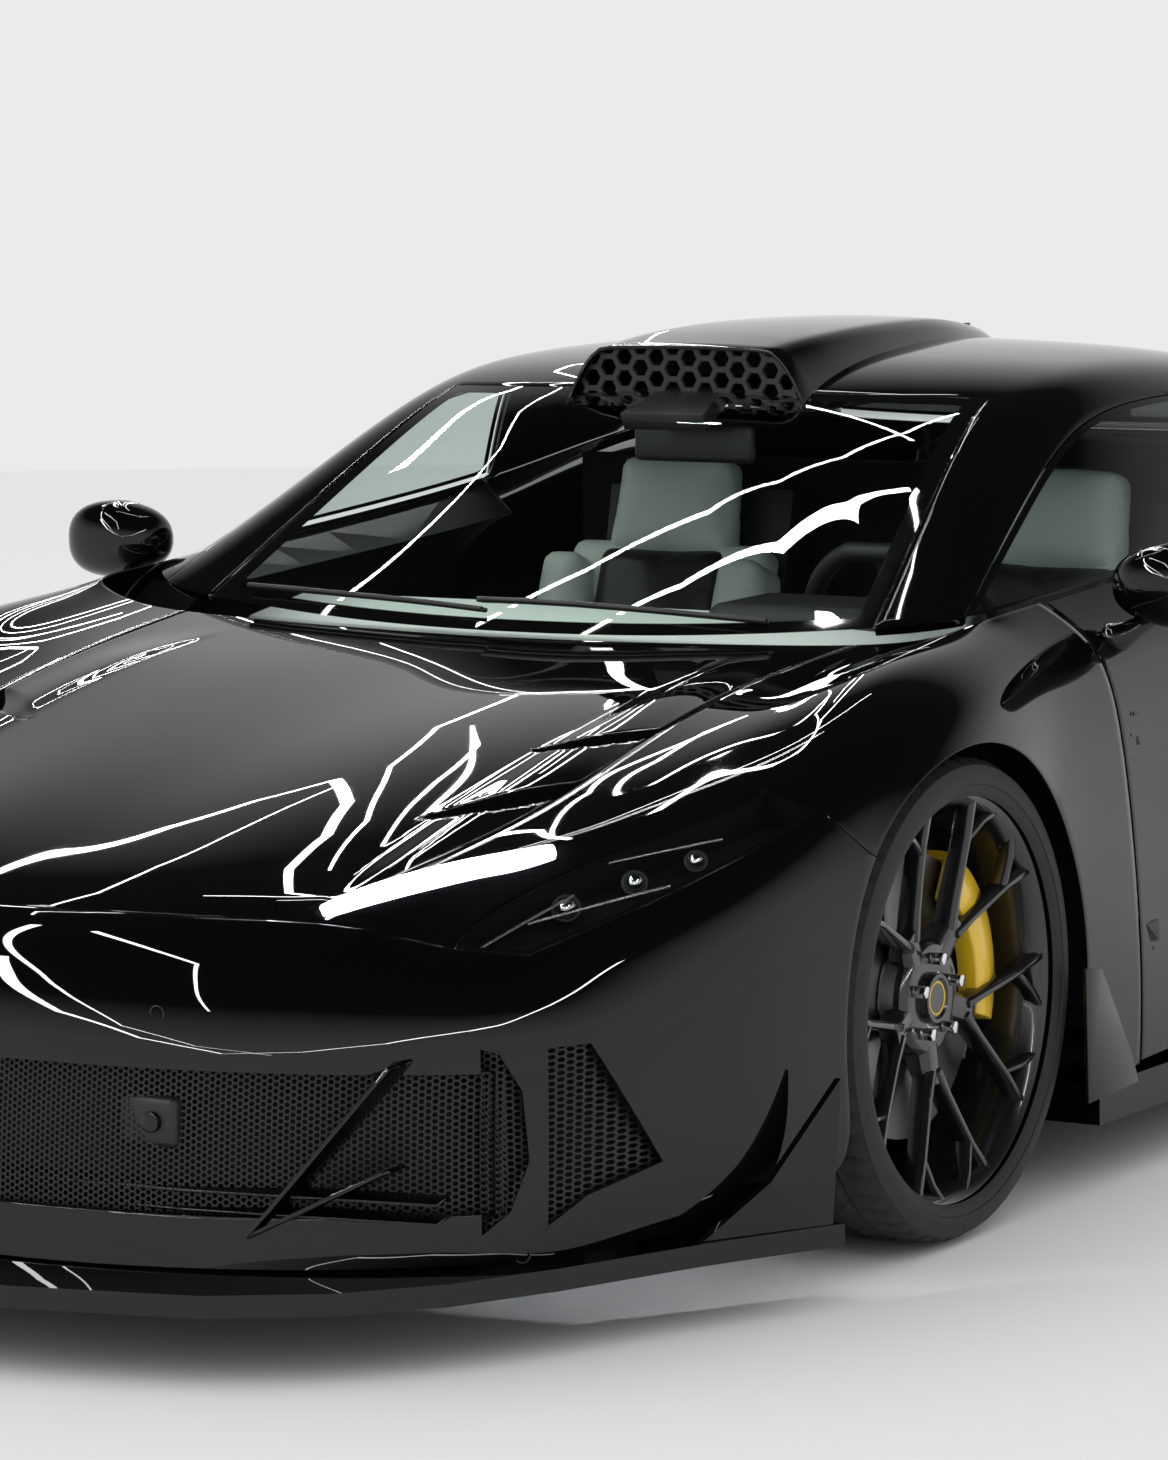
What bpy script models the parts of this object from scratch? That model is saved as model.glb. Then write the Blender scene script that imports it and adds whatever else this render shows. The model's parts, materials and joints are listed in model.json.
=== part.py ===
"""A low mid-engined two-seat supercar, built panel by panel.

Metres, +Z up. The front of the car faces -Y and its left side is +X. The origin is on the ground,
under the middle of the car. The smooth outer skin is one cage of feature lines, subdivided once and
then parted along the real shut lines, so that neighbouring panels always share an edge.
"""

import math

import bmesh
import bpy
import numpy as np
from mathutils import Matrix, Vector

# Overall sizes
wheelbase = 2.600
front_overhang = 1.240
rear_overhang = 0.880
half_width = 0.980
roof_height = 1.165
front_axle_y = (front_overhang - wheelbase - rear_overhang) / 2
rear_axle_y = front_axle_y + wheelbase

# Wheels and tyres
front_tyre_radius = 0.343
front_tyre_width = 0.252
front_rim_radius = 0.288
front_face_inset = 0.058
front_wheel_face_x = half_width - front_face_inset
rear_tyre_radius = 0.358
rear_tyre_width = 0.316
rear_rim_radius = 0.300
rear_face_inset = 0.042
rear_wheel_face_x = half_width - rear_face_inset
tyre_squash = 0.002
wheel_sides = 24
disc_radius = 0.199
disc_thickness = 0.034
arch_gap = 0.025
front_arch_radius = front_tyre_radius + arch_gap
rear_arch_radius = rear_tyre_radius + arch_gap

# Panels and gaps
seat_gap = 0.0003
weld_distance = 0.00001
grille_overlap = 0.014
fixed_seam = 0.0003
belt_gap = 0.0035
moving_gap = 0.0050
skin_thickness = 0.008
bonnet_thickness = 0.022
roof_thickness = 0.030
pillar_foot_height = 0.150
door_thickness = 0.100
glass_thickness = 0.005
glass_slot_depth = 0.022
glass_front_relief = 0.010
glass_belt_share = 0.965
skin_levels = 1

scene_objects = list(bpy.data.objects)
for old in scene_objects:
    bpy.data.objects.remove(old, do_unlink=True)


def material(name, colour, roughness, metallic=0.0, alpha=1.0):
    """A plain Principled finish."""
    made = bpy.data.materials.new(name)
    made.use_nodes = True
    shader = made.node_tree.nodes["Principled BSDF"]
    shader.inputs["Base Color"].default_value = (*colour, 1.0)
    shader.inputs["Roughness"].default_value = roughness
    shader.inputs["Metallic"].default_value = metallic
    shader.inputs["Alpha"].default_value = alpha
    return made


gloss_black = material("gloss_black_paint", (0.006, 0.006, 0.007), 0.08)
satin_black = material("satin_black_plastic", (0.014, 0.014, 0.015), 0.45)
tinted_glass = material("tinted_glass", (0.05, 0.07, 0.065), 0.03, 0.0, 0.35)
tyre_rubber = material("tyre_rubber", (0.018, 0.018, 0.018), 0.75)
forged_black = material("forged_wheel_black", (0.01, 0.01, 0.011), 0.22, 0.6)
bare_metal = material("machined_metal", (0.35, 0.35, 0.36), 0.35, 1.0)
caliper_yellow = material("caliper_yellow", (0.75, 0.50, 0.03), 0.35)
pale_leather = material("pale_leather", (0.56, 0.60, 0.57), 0.55)
dark_leather = material("dark_leather", (0.02, 0.022, 0.022), 0.6)
lamp_clear = material("lamp_clear", (0.16, 0.17, 0.18), 0.08)
lamp_red = material("lamp_red", (0.35, 0.01, 0.01), 0.15)


# Meshes and solids


def new_object(name, vertices, faces, finish):
    """One object from points and faces, with its faces turned outwards."""
    mesh = bpy.data.meshes.new(name)
    mesh.from_pydata([tuple(v) for v in vertices], [], [tuple(f) for f in faces])
    shaped = bmesh.new()
    shaped.from_mesh(mesh)
    bmesh.ops.recalc_face_normals(shaped, faces=shaped.faces)
    shaped.to_mesh(mesh)
    shaped.free()
    mesh.materials.append(finish)
    made = bpy.data.objects.new(name, mesh)
    bpy.context.scene.collection.objects.link(made)
    return made


def smooth_round(made, sharp_angle=math.radians(32)):
    """Round pieces are shaded smooth up to their sharp edges."""
    made.data.shade_smooth()
    made.data.set_sharp_from_angle(angle=sharp_angle)
    return made


def block(name, low, high, finish):
    """A rectangular block between two corners."""
    corners = [(x, y, z) for x in (low[0], high[0]) for y in (low[1], high[1]) for z in (low[2], high[2])]
    faces = ((0, 1, 3, 2), (4, 6, 7, 5), (0, 4, 5, 1), (2, 3, 7, 6), (0, 2, 6, 4), (1, 5, 7, 3))
    return new_object(name, corners, faces, finish)


def loft(name, sections, finish):
    """A closed solid through sections with equal numbers of points, capped at both ends."""
    count = len(sections[0])
    vertices = [point for section in sections for point in section]
    faces = []
    for s in range(len(sections) - 1):
        for k in range(count):
            after = (k + 1) % count
            faces.append((s * count + k, s * count + after, (s + 1) * count + after, (s + 1) * count + k))
    faces.append(tuple(range(count)))
    faces.append(tuple((len(sections) - 1) * count + k for k in reversed(range(count))))
    return new_object(name, vertices, faces, finish)


def ring(name, profile, centre, sides, finish):
    """A closed profile of (x, radius) points turned about the X axis through the centre."""
    vertices = []
    faces = []
    count = len(profile)
    for s in range(sides):
        angle = math.tau * (s + 0.5) / sides
        for x, radius in profile:
            vertices.append(Vector((x, radius * math.cos(angle), radius * math.sin(angle))) + centre)
    for s in range(sides):
        following = (s + 1) % sides
        for k in range(count):
            after = (k + 1) % count
            faces.append((s * count + k, s * count + after, following * count + after, following * count + k))
    return smooth_round(new_object(name, vertices, faces, finish))


def drum(name, start, end, radius, sides, finish):
    """A cylinder along one axis, between two points."""
    along = (Vector(end) - Vector(start)).normalized()
    across = along.orthogonal().normalized()
    upward = along.cross(across)
    sections = []
    for centre in (Vector(start), Vector(end)):
        around = []
        for k in range(sides):
            angle = math.tau * k / sides
            around.append(centre + radius * (math.cos(angle) * across + math.sin(angle) * upward))
        sections.append(around)
    return smooth_round(loft(name, sections, finish))


def evaluated_mesh(made):
    """The mesh of an object with its modifiers worked out."""
    bpy.context.view_layer.update()
    graph = bpy.context.evaluated_depsgraph_get()
    return bpy.data.meshes.new_from_object(made.evaluated_get(graph))


def combine(base, others, operation):
    """Booleans the others into the base one by one, and removes them."""
    for other in others:
        step = base.modifiers.new("combine", "BOOLEAN")
        step.operation = operation
        step.solver = "EXACT"
        step.object = other
        shaped = evaluated_mesh(base)
        base.modifiers.clear()
        base.data = shaped
        welded = bmesh.new()
        welded.from_mesh(shaped)
        bmesh.ops.remove_doubles(welded, verts=welded.verts, dist=weld_distance)
        if all(len(edge.link_faces) == 2 for edge in welded.edges):
            welded.to_mesh(shaped)
        welded.free()
        bpy.data.objects.remove(other, do_unlink=True)
    return base


def join_solids(base, *others):
    return combine(base, others, "UNION")


def cut_solids(base, *others):
    return combine(base, others, "DIFFERENCE")


def mirrored(made, name):
    """The right-hand copy of a left-hand piece."""
    copy = made.copy()
    copy.data = made.data.copy()
    copy.name = name
    copy.data.transform(Matrix.Scale(-1, 4, (1, 0, 0)))
    copy.data.flip_normals()
    bpy.context.scene.collection.objects.link(copy)
    return copy


# Feature lines of the lower body. Each knot is (distance behind the front axle as a share of the
# wheelbase, distance from the centre as a share of the half width, height as a share of the roof height)


def car_point(along_share, across_share, height_share):
    """A point of the car from its three shares."""
    return Vector((across_share * half_width, front_axle_y + along_share * wheelbase, height_share * roof_height))


line_shares = (
    (
        (-0.379, 0.0, 0.472), (-0.270, 0.0, 0.538), (-0.135, 0.0, 0.592), (0.0, 0.0, 0.631), (0.120, 0.0, 0.662),
        (0.75, 0.0, 0.830), (0.90, 0.0, 0.806), (1.05, 0.0, 0.788), (1.20, 0.0, 0.775), (1.310, 0.0, 0.760),
    ),
    (
        (-0.371, 0.265, 0.475), (-0.270, 0.27, 0.543), (-0.135, 0.28, 0.601), (0.0, 0.29, 0.641), (0.125, 0.31, 0.667),
        (0.75, 0.28, 0.831), (0.90, 0.28, 0.808), (1.05, 0.28, 0.790), (1.20, 0.28, 0.777), (1.308, 0.28, 0.762),
    ),
    (
        (-0.350, 0.480, 0.483), (-0.230, 0.51, 0.545), (-0.115, 0.55, 0.600), (0.0, 0.59, 0.645), (0.135, 0.64, 0.674),
        (0.75, 0.53, 0.832), (0.90, 0.53, 0.812), (1.05, 0.53, 0.795), (1.20, 0.53, 0.783), (1.303, 0.52, 0.766),
    ),
    (
        (-0.335, 0.535, 0.470), (-0.212, 0.60, 0.534), (-0.115, 0.67, 0.601), (0.0, 0.715, 0.663), (0.138, 0.745, 0.690),
        (0.75, 0.70, 0.826), (0.90, 0.70, 0.824), (1.05, 0.69, 0.814), (1.20, 0.67, 0.796), (1.295, 0.65, 0.770),
    ),
    (
        (-0.330, 0.605, 0.448), (-0.235, 0.675, 0.520), (-0.180, 0.775, 0.545), (-0.125, 0.862, 0.575),
        (-0.065, 0.835, 0.640), (0.0, 0.815, 0.688), (0.080, 0.808, 0.706), (0.200, 0.802, 0.716),
        (0.327, 0.812, 0.731), (0.462, 0.816, 0.744), (0.600, 0.812, 0.765), (0.730, 0.825, 0.798),
        (0.885, 0.835, 0.822), (1.04, 0.835, 0.824), (1.19, 0.805, 0.802), (1.286, 0.76, 0.768),
    ),
    (
        (-0.318, 0.690, 0.430), (-0.262, 0.800, 0.462), (-0.195, 0.872, 0.512), (-0.127, 0.905, 0.556),
        (-0.065, 0.930, 0.612), (0.0, 0.945, 0.650), (0.080, 0.938, 0.661), (0.200, 0.898, 0.665),
        (0.327, 0.885, 0.678), (0.462, 0.893, 0.687), (0.600, 0.918, 0.704), (0.730, 0.945, 0.734),
        (0.885, 0.966, 0.752), (1.04, 0.966, 0.752), (1.19, 0.940, 0.732), (1.280, 0.875, 0.698),
    ),
    (
        (-0.312, 0.760, 0.398), (-0.235, 0.868, 0.430), (-0.17, 0.930, 0.480), (0.0, 0.974, 0.608), (0.15, 0.955, 0.580),
        (0.200, 0.938, 0.567), (0.327, 0.918, 0.575), (0.462, 0.925, 0.584), (0.600, 0.955, 0.600),
        (0.730, 0.985, 0.625), (0.885, 0.998, 0.66), (1.04, 0.998, 0.66), (1.19, 0.985, 0.626), (1.275, 0.905, 0.600),
    ),
    (
        (-0.308, 0.798, 0.338), (-0.235, 0.890, 0.345), (-0.175, 0.940, 0.360), (-0.14, 0.958, 0.38), (0.15, 0.964, 0.41),
        (0.200, 0.955, 0.403), (0.327, 0.935, 0.403), (0.462, 0.935, 0.403), (0.600, 0.960, 0.405),
        (0.730, 0.988, 0.410), (0.80, 1.000, 0.420), (1.14, 1.000, 0.42), (1.21, 0.985, 0.425), (1.275, 0.920, 0.430),
    ),
    (
        (-0.308, 0.800, 0.145), (-0.235, 0.885, 0.170), (-0.185, 0.938, 0.185), (-0.14, 0.960, 0.20), (0.15, 0.968, 0.24),
        (0.200, 0.965, 0.240), (0.327, 0.950, 0.240), (0.462, 0.950, 0.240), (0.600, 0.965, 0.240),
        (0.730, 0.985, 0.240), (0.80, 0.995, 0.240), (1.14, 0.995, 0.25), (1.21, 0.980, 0.270), (1.275, 0.905, 0.290),
    ),
    (
        (-0.308, 0.785, 0.105), (-0.235, 0.848, 0.108), (-0.185, 0.905, 0.112), (-0.14, 0.950, 0.115), (0.13, 0.968, 0.138),
        (0.200, 0.962, 0.138), (0.327, 0.958, 0.138), (0.462, 0.958, 0.138), (0.600, 0.965, 0.138),
        (0.730, 0.980, 0.140), (0.80, 0.985, 0.145), (1.14, 0.985, 0.165), (1.21, 0.970, 0.180), (1.270, 0.890, 0.195),
    ),
)
shoulder_line = 5
sill_line = 9

# Stations: (position on the centreline, position at the shoulder), as shares of the wheelbase
station_shares = (
    (-0.379, -0.310), (-0.285, -0.250), (-0.200, -0.190), (-0.131, -0.127), (-0.065, -0.065), (0.0, 0.0),
    (0.062, 0.066), (0.119, 0.140), (0.165, 0.200), (0.327, 0.327), (0.462, 0.462), (0.600, 0.600),
    (0.730, 0.730), (0.832, 0.832), (0.915, 0.915), (1.0, 1.0), (1.085, 1.085), (1.165, 1.165),
    (1.235, 1.225), (1.310, 1.280),
)
cowl_station = 7
door_front_station = 8
door_rear_station = 11
lid_front_station = 14
lid_rear_station = 17
front_arch_stations = (3, 4, 5, 6, 7)
rear_arch_stations = (13, 14, 15, 16, 17)
last_station = len(station_shares) - 1
arch_degrees = (-30, -8, 16, 42, 66, 90, 114, 138, 164, 188, 210)


def smooth_value(knots, at):
    """The values at a position on a smooth curve through knots of (position, values...)."""
    places = [knot[0] for knot in knots]
    at = min(max(at, places[0]), places[-1])
    k = max(0, min(len(places) - 2, int(np.searchsorted(places, at, side="right")) - 1))
    values = np.array([knot[1:] for knot in knots], float)
    slopes = []
    for n in (k, k + 1):
        before = max(n - 1, 0)
        after = min(n + 1, len(places) - 1)
        slopes.append((values[after] - values[before]) / (places[after] - places[before]))
    span = places[k + 1] - places[k]
    t = (at - places[k]) / span
    start_weight = 2 * t**3 - 3 * t**2 + 1
    end_weight = 1 - start_weight
    start_pull = (t**3 - 2 * t**2 + t) * span
    end_pull = (t**3 - t**2) * span
    return start_weight * values[k] + end_weight * values[k + 1] + start_pull * slopes[0] + end_pull * slopes[1]


def line_point(line, along_share):
    across, height = smooth_value(line_shares[line], along_share)
    return car_point(along_share, across, height)


def arch_points(stations, axle_y, arch_radius, wheel_height):
    """Cage points of a wheel arch, on a circle about the axle, from the front sill up and over to the rear."""
    corners = [(stations[0], line) for line in (9, 8, 7, 6)]
    corners += [(station, 6) for station in stations[1:-1]]
    corners += [(stations[-1], line) for line in (6, 7, 8, 9)]
    placed = {}
    for corner, degrees in zip(corners, arch_degrees):
        angle = math.radians(degrees)
        y = axle_y - arch_radius * math.cos(angle)
        z = wheel_height + arch_radius * math.sin(angle)
        across = line_point(corner[1], (y - front_axle_y) / wheelbase).x
        placed[corner] = Vector((across, y, z))
    return placed


def skin_cage():
    """Cage points keyed by patch and place, for the left half."""
    points = {}
    edge_across = [smooth_value(line_shares[line], station_shares[5][0])[0] for line in range(6)]
    for i, (centre_share, edge_share) in enumerate(station_shares):
        for line in range(10):
            sweep = min(1.0, (edge_across[line] / edge_across[5]) ** 2) if line < 5 else 1.0
            points["body", i, line] = line_point(line, centre_share + (edge_share - centre_share) * sweep)
    front = arch_points(front_arch_stations, front_axle_y, front_arch_radius, front_tyre_radius - tyre_squash)
    rear = arch_points(rear_arch_stations, rear_axle_y, rear_arch_radius, rear_tyre_radius - tyre_squash)
    for (i, line), point in {**front, **rear}.items():
        points["body", i, line] = point
    return points


# Nose and tail faces: (distance behind the front axle at the centre, height at the centre) for each level
nose_level_shares = ((-0.404, 0.405), (-0.416, 0.345), (-0.424, 0.142), (-0.427, 0.100))
tail_level_shares = ((1.322, 0.640), (1.330, 0.440), (1.325, 0.300), (1.305, 0.215))
nose_across_shares = (0.0, 0.27, 0.50, 0.63, 0.72)
tail_across_shares = (0.0, 0.28, 0.54, 0.68, 0.80)
nose_roundness = 2.6


def end_levels(points, patch, station, level_shares, across_shares):
    """The face that closes one end of the body, from the shoulder corner to the centreline."""
    for level, (along_share, height_share) in enumerate(level_shares, start=1):
        corner = points["body", station, shoulder_line + level]
        centre = car_point(along_share, 0.0, height_share)
        for line, across_share in enumerate(across_shares):
            x = across_share * half_width
            blend = (x / corner.x) ** nose_roundness
            y = centre.y + (corner.y - centre.y) * blend
            z = centre.z + (corner.z - centre.z) * blend
            points[patch, level, line] = Vector((x, y, z))
        points[patch, level, shoulder_line] = corner
    for line in range(shoulder_line + 1):
        points[patch, 0, line] = points["body", station, line]


def body_panel(i, line):
    """Which panel a cage face of the body patch belongs to."""
    if front_arch_stations[0] <= i < front_arch_stations[-1] and line >= 6:
        return None
    if rear_arch_stations[0] <= i < rear_arch_stations[-1] and line >= 6:
        return None
    if i < cowl_station and line < 2:
        return "bonnet"
    if i < 3 and line == 4:
        return "headlamp"
    if i < 3 and line >= 5:
        return "front_bumper"
    if i < cowl_station and line < 4:
        return "front_fender"
    if i < door_front_station:
        return "front_fender" if line >= 4 else None
    if i < door_rear_station:
        return "door" if line >= 4 else None
    if i < lid_front_station:
        return "rear_quarter" if line >= 4 else None
    if line < 3:
        return "engine_lid" if i < lid_rear_station else "rear_bumper"
    if i >= 17 and line >= 7:
        return "rear_bumper"
    return "rear_quarter"


def nose_panel(level, line):
    if level == 2 and line < 4:
        return "front_grille"
    return "front_bumper"


def tail_panel(level, line):
    if level == 0 and line in (3, 4):
        return "tail_lamp"
    return "rear_bumper"


# Greenhouse: rows of (along, across, height) shares from the centreline outwards, and the place on the beltline
greenhouse_shares = (
    ((0.121, 0.0, 0.667), (0.129, 0.306, 0.670), (0.152, 0.640, 0.690), (0.168, 0.722, 0.700), 0.200),
    ((0.228, 0.0, 0.822), (0.236, 0.290, 0.820), (0.262, 0.580, 0.826), (0.275, 0.655, 0.830), 0.327),
    ((0.338, 0.0, 0.962), (0.346, 0.270, 0.960), (0.374, 0.512, 0.957), (0.388, 0.590, 0.955), 0.462),
    ((0.470, 0.0, 0.998), (0.475, 0.285, 0.994), (0.490, 0.520, 0.985), (0.500, 0.615, 0.960), 0.600),
    ((0.620, 0.0, 0.998), (0.620, 0.290, 0.992), (0.625, 0.520, 0.980), (0.640, 0.635, 0.935), 0.730),
    ((0.730, 0.0, 0.955), (0.730, 0.280, 0.950), (0.735, 0.500, 0.940), (0.745, 0.650, 0.905), 0.832),
    ((0.896, 0.0, 0.818), (0.896, 0.280, 0.820), (0.899, 0.530, 0.826), (0.902, 0.700, 0.838), 0.912),
)
beltline = 4


def greenhouse_panel(i, line):
    if i < 2 and line < 2:
        return "windscreen"
    if line == 3 and i < 3:
        return "door_glass"
    if i == 5 and line < 2:
        return "rear_glass"
    return "roof"


centre_panels = ("bonnet", "front_bumper", "front_grille", "engine_lid", "rear_bumper", "windscreen", "roof", "rear_glass")


def smooth_surface(name, patches):
    """Subdivides a mirrored cage. Returns its points, normals, and the faces of each panel.

    patches is a list of (points, keys of the four corners, panel)."""
    vertices = []
    index = {}
    faces = []
    panels = []

    def number(point):
        key = tuple(round(c, 6) for c in point)
        if key not in index:
            index[key] = len(vertices)
            vertices.append(key)
        return index[key]

    for corners, panel in patches:
        for side in (1, -1):
            tag = panel if panel in centre_panels else panel + ("_left" if side > 0 else "_right")
            loop = [number((side * c.x, c.y, c.z)) for c in corners]
            faces.append(loop if side > 0 else loop[::-1])
            panels.append(tag)
    names = sorted(set(panels))
    mesh = bpy.data.meshes.new(name)
    mesh.from_pydata(vertices, [], faces)
    for panel in names:
        mesh.materials.append(bpy.data.materials.new("tag_" + panel))
    mesh.polygons.foreach_set("material_index", [names.index(panel) for panel in panels])
    cage = bpy.data.objects.new(name, mesh)
    bpy.context.scene.collection.objects.link(cage)
    smoother = cage.modifiers.new("smoother", "SUBSURF")
    smoother.levels = skin_levels
    smoother.render_levels = skin_levels
    fine = evaluated_mesh(cage)
    bpy.data.objects.remove(cage, do_unlink=True)
    points = [v.co.copy() for v in fine.vertices]
    normals = [v.normal.copy() for v in fine.vertices]
    parted = {panel: [] for panel in names}
    for polygon in fine.polygons:
        parted[names[polygon.material_index]].append(tuple(polygon.vertices))
    return points, normals, parted


def shrunk(points, normals, faces, inset):
    """Moves a panel's edge points into the panel by the inset."""
    moved = {n: points[n].copy() for face in faces for n in face}
    seen = {}
    for face in faces:
        for a, b in zip(face, face[1:] + face[:1]):
            key = (min(a, b), max(a, b))
            seen.setdefault(key, []).append((a, b, face))
    pushes = {}
    for uses in seen.values():
        if len(uses) > 1:
            continue
        a, b, face = uses[0]
        middle = sum((points[n] for n in face), Vector()) / len(face)
        along = (points[b] - points[a]).normalized()
        inward = middle - points[a]
        inward -= inward.dot(along) * along
        inward.normalize()
        for n in (a, b):
            pushes.setdefault(n, []).append(inward)
    for n, inwards in pushes.items():
        total = sum(inwards, Vector())
        lean = max(0.5, total.length / len(inwards))
        moved[n] += total.normalized() * inset / lean
    return moved


def closed_shell(name, vertices, faces, place, finish):
    """Closes a panel whose inner points follow its outer points in the same order."""
    count = len(vertices) // 2
    triangles = [(face[0], face[k], face[k + 1]) for face in faces for k in range(1, len(face) - 1)]
    solid_faces = [tuple(place[n] for n in face) for face in triangles]
    solid_faces += [tuple(place[n] + count for n in reversed(face)) for face in triangles]
    edge_uses = {}
    for face in faces:
        for a, b in zip(face, face[1:] + face[:1]):
            edge_uses.setdefault((min(a, b), max(a, b)), []).append((a, b))
    for uses in edge_uses.values():
        if len(uses) == 1:
            a, b = place[uses[0][0]], place[uses[0][1]]
            solid_faces.append((b, a, a + count, b + count))
    return smooth_round(new_object(name, vertices, solid_faces, finish), math.radians(50))


def panel_solid(name, surface, panel, finish, inset, thickness, direction=None, recess=0.0, inner_inset=0.0):
    """A panel of the surface as a closed solid. Its thickness is a length, or a function of the point."""
    points, normals, parted = surface
    faces = parted[panel]
    outer = shrunk(points, normals, faces, inset)
    order = sorted(outer)
    place = {n: k for k, n in enumerate(order)}
    middle = Vector((0.0, (front_axle_y + rear_axle_y) / 2, roof_height / 3))
    lean = sum((points[n] - middle).dot(normals[n]) for n in order)
    flip = 1.0 if lean > 0 else -1.0
    inwards = {n: Vector(direction) if direction else -normals[n] * flip for n in order}
    inner = shrunk(points, normals, faces, inset + inner_inset)
    vertices = [outer[n] + inwards[n] * recess for n in order]
    for n in order:
        depth = thickness(outer[n]) if callable(thickness) else thickness
        vertices.append(inner[n] + inwards[n] * (recess + depth))
    return closed_shell(name, vertices, faces, place, finish)


def roof_depth(point):
    """The roof is thin at the pillar feet and reaches its full thickness above them."""
    foot_z = line_point(beltline, greenhouse_shares[0][beltline]).z
    rise = (point.z - foot_z) / pillar_foot_height
    return skin_thickness + (roof_thickness - skin_thickness) * min(1.0, max(0.0, rise))


def body_surface():
    points = skin_cage()
    end_levels(points, "nose", 0, nose_level_shares, nose_across_shares)
    end_levels(points, "tail", last_station, tail_level_shares, tail_across_shares)
    patches = []
    for i in range(last_station):
        for line in range(sill_line):
            panel = body_panel(i, line)
            if panel:
                keys = (("body", i, line), ("body", i, line + 1), ("body", i + 1, line + 1), ("body", i + 1, line))
                patches.append(([points[key] for key in keys], panel))
    for patch, chooser, turn in (("nose", nose_panel, 1), ("tail", tail_panel, -1)):
        for level in range(4):
            for line in range(shoulder_line):
                panel = chooser(level, line)
                if panel:
                    keys = ((patch, level + 1, line), (patch, level + 1, line + 1), (patch, level, line + 1), (patch, level, line))
                    patches.append(([points[key] for key in keys[::turn]], panel))
    return smooth_surface("body_cage", patches)


def greenhouse_surface():
    grid = []
    for row in greenhouse_shares:
        rise = Vector((0.0, 0.0, belt_gap * (6 if row is greenhouse_shares[-1] else 1)))
        grid.append([car_point(*shares) for shares in row[:beltline]] + [line_point(beltline, row[beltline]) + rise])
    patches = []
    for i in range(len(grid) - 1):
        for line in range(4):
            corners = [grid[i][line], grid[i][line + 1], grid[i + 1][line + 1], grid[i + 1][line]]
            patches.append((corners, greenhouse_panel(i, line)))
    return smooth_surface("greenhouse_cage", patches)


body = body_surface()
greenhouse = greenhouse_surface()
down = (0.0, 0.0, -1.0)
sides = (("left", 1.0), ("right", -1.0))


# Door hinges: an inclined pin line near the skin, a little behind the door's front edge
door_open_degrees = 65
door_pin_share = (0.2296, 0.945, 0.300)
door_axis_lean = math.radians(4.3)
door_front_relief = 0.003
door_pin_level_shares = (0.300, 0.560)
hinge_pin_radius = 0.006
hinge_pin_length = 0.040
hinge_plate_height = 0.014
hinge_plate_width = 0.018
hinge_slot_gap = 0.004
door_taper_share = 0.055
door_top_drop = 0.055
door_pin_base = car_point(*door_pin_share)
door_axis = Vector((-math.sin(door_axis_lean), 0.0, math.cos(door_axis_lean)))
a_post_x = 0.700


def door_pin(level_share):
    """The centre of one hinge, on the left door's axis."""
    rise = level_share * roof_height - door_pin_base.z
    return door_pin_base + door_axis * (rise / door_axis.z)


def door_panel(name, side, turn):
    """A door as thick as its frame. Its inner side is shorter, so that its rear edge swings clear."""
    points, normals, parted = body
    faces = parted["door_" + side]
    outer = shrunk(points, normals, faces, moving_gap)
    order = sorted(outer)
    place = {n: k for k, n in enumerate(order)}
    front_edge = min(outer[n].y for n in order) + door_thickness / 2
    for n in order:
        if outer[n].y < front_edge:
            outer[n].y += door_front_relief
    vertices = [outer[n] for n in order]
    low = min(outer[n].z for n in order)
    high = max(outer[n].z for n in order)
    for n in order:
        inner = outer[n] - Vector((turn * door_thickness, 0.0, 0.0))
        inner.y -= door_taper_share * max(0.0, inner.y - door_pin_base.y)
        inner.z -= door_top_drop * ((outer[n].z - low) / (high - low)) ** 4
        vertices.append(inner)
    made = closed_shell(name, vertices, faces, place, gloss_black)
    cutters = []
    for level_share in door_pin_level_shares:
        centre = door_pin(level_share)
        centre.x *= turn
        axis = Vector((turn * door_axis.x, 0.0, door_axis.z))
        half_pin = axis * (hinge_pin_length / 2 + hinge_slot_gap)
        cutters.append(drum("pin_hole", centre - half_pin, centre + half_pin, hinge_pin_radius + seat_gap * 2, 12, gloss_black))
        reach = hinge_pin_radius + hinge_slot_gap
        near_x = centre.x + turn * reach
        far_x = centre.x - turn * door_thickness * 2
        low = (min(near_x, far_x), centre.y - door_thickness, centre.z - hinge_plate_height / 2 - hinge_slot_gap)
        high = (max(near_x, far_x), centre.y + hinge_plate_width / 2 + hinge_slot_gap, centre.z + hinge_plate_height / 2 + hinge_slot_gap)
        cutters.append(block("pin_slot", low, high, gloss_black))
    cutters.append(glass_panel("glass_slot", side, seat_gap))
    return cut_solids(made, *cutters)


def glass_panel(name, side, grow):
    """A door glass. Its lower edge stands in a slot of the door, whose cutter is grown on both faces."""
    points, normals, parted = greenhouse
    faces = parted["door_glass_" + side]
    outer = shrunk(points, normals, faces, moving_gap - grow)
    reach = max(abs(p.x) for p in outer.values()) * glass_belt_share
    front = min(p.y for p in outer.values()) + door_thickness / 2
    for p in outer.values():
        if p.y < front:
            p.y += glass_front_relief
        if abs(p.x) > reach:
            p.z -= glass_slot_depth + grow
    order = sorted(outer)
    place = {n: k for k, n in enumerate(order)}
    turn = 1.0 if side == "left" else -1.0
    inwards = {n: -normals[n] if normals[n].x * turn > 0 else normals[n] for n in order}
    vertices = [outer[n] - inwards[n] * grow for n in order]
    vertices += [outer[n] + inwards[n] * (glass_thickness + grow) for n in order]
    return closed_shell(name, vertices, faces, place, tinted_glass)


def share_block(name, low_shares, high_shares, finish):
    """A block between two corners given in shares of the car."""
    low = car_point(*low_shares)
    high = car_point(*high_shares)
    return block(name, low, high, finish)


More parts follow.
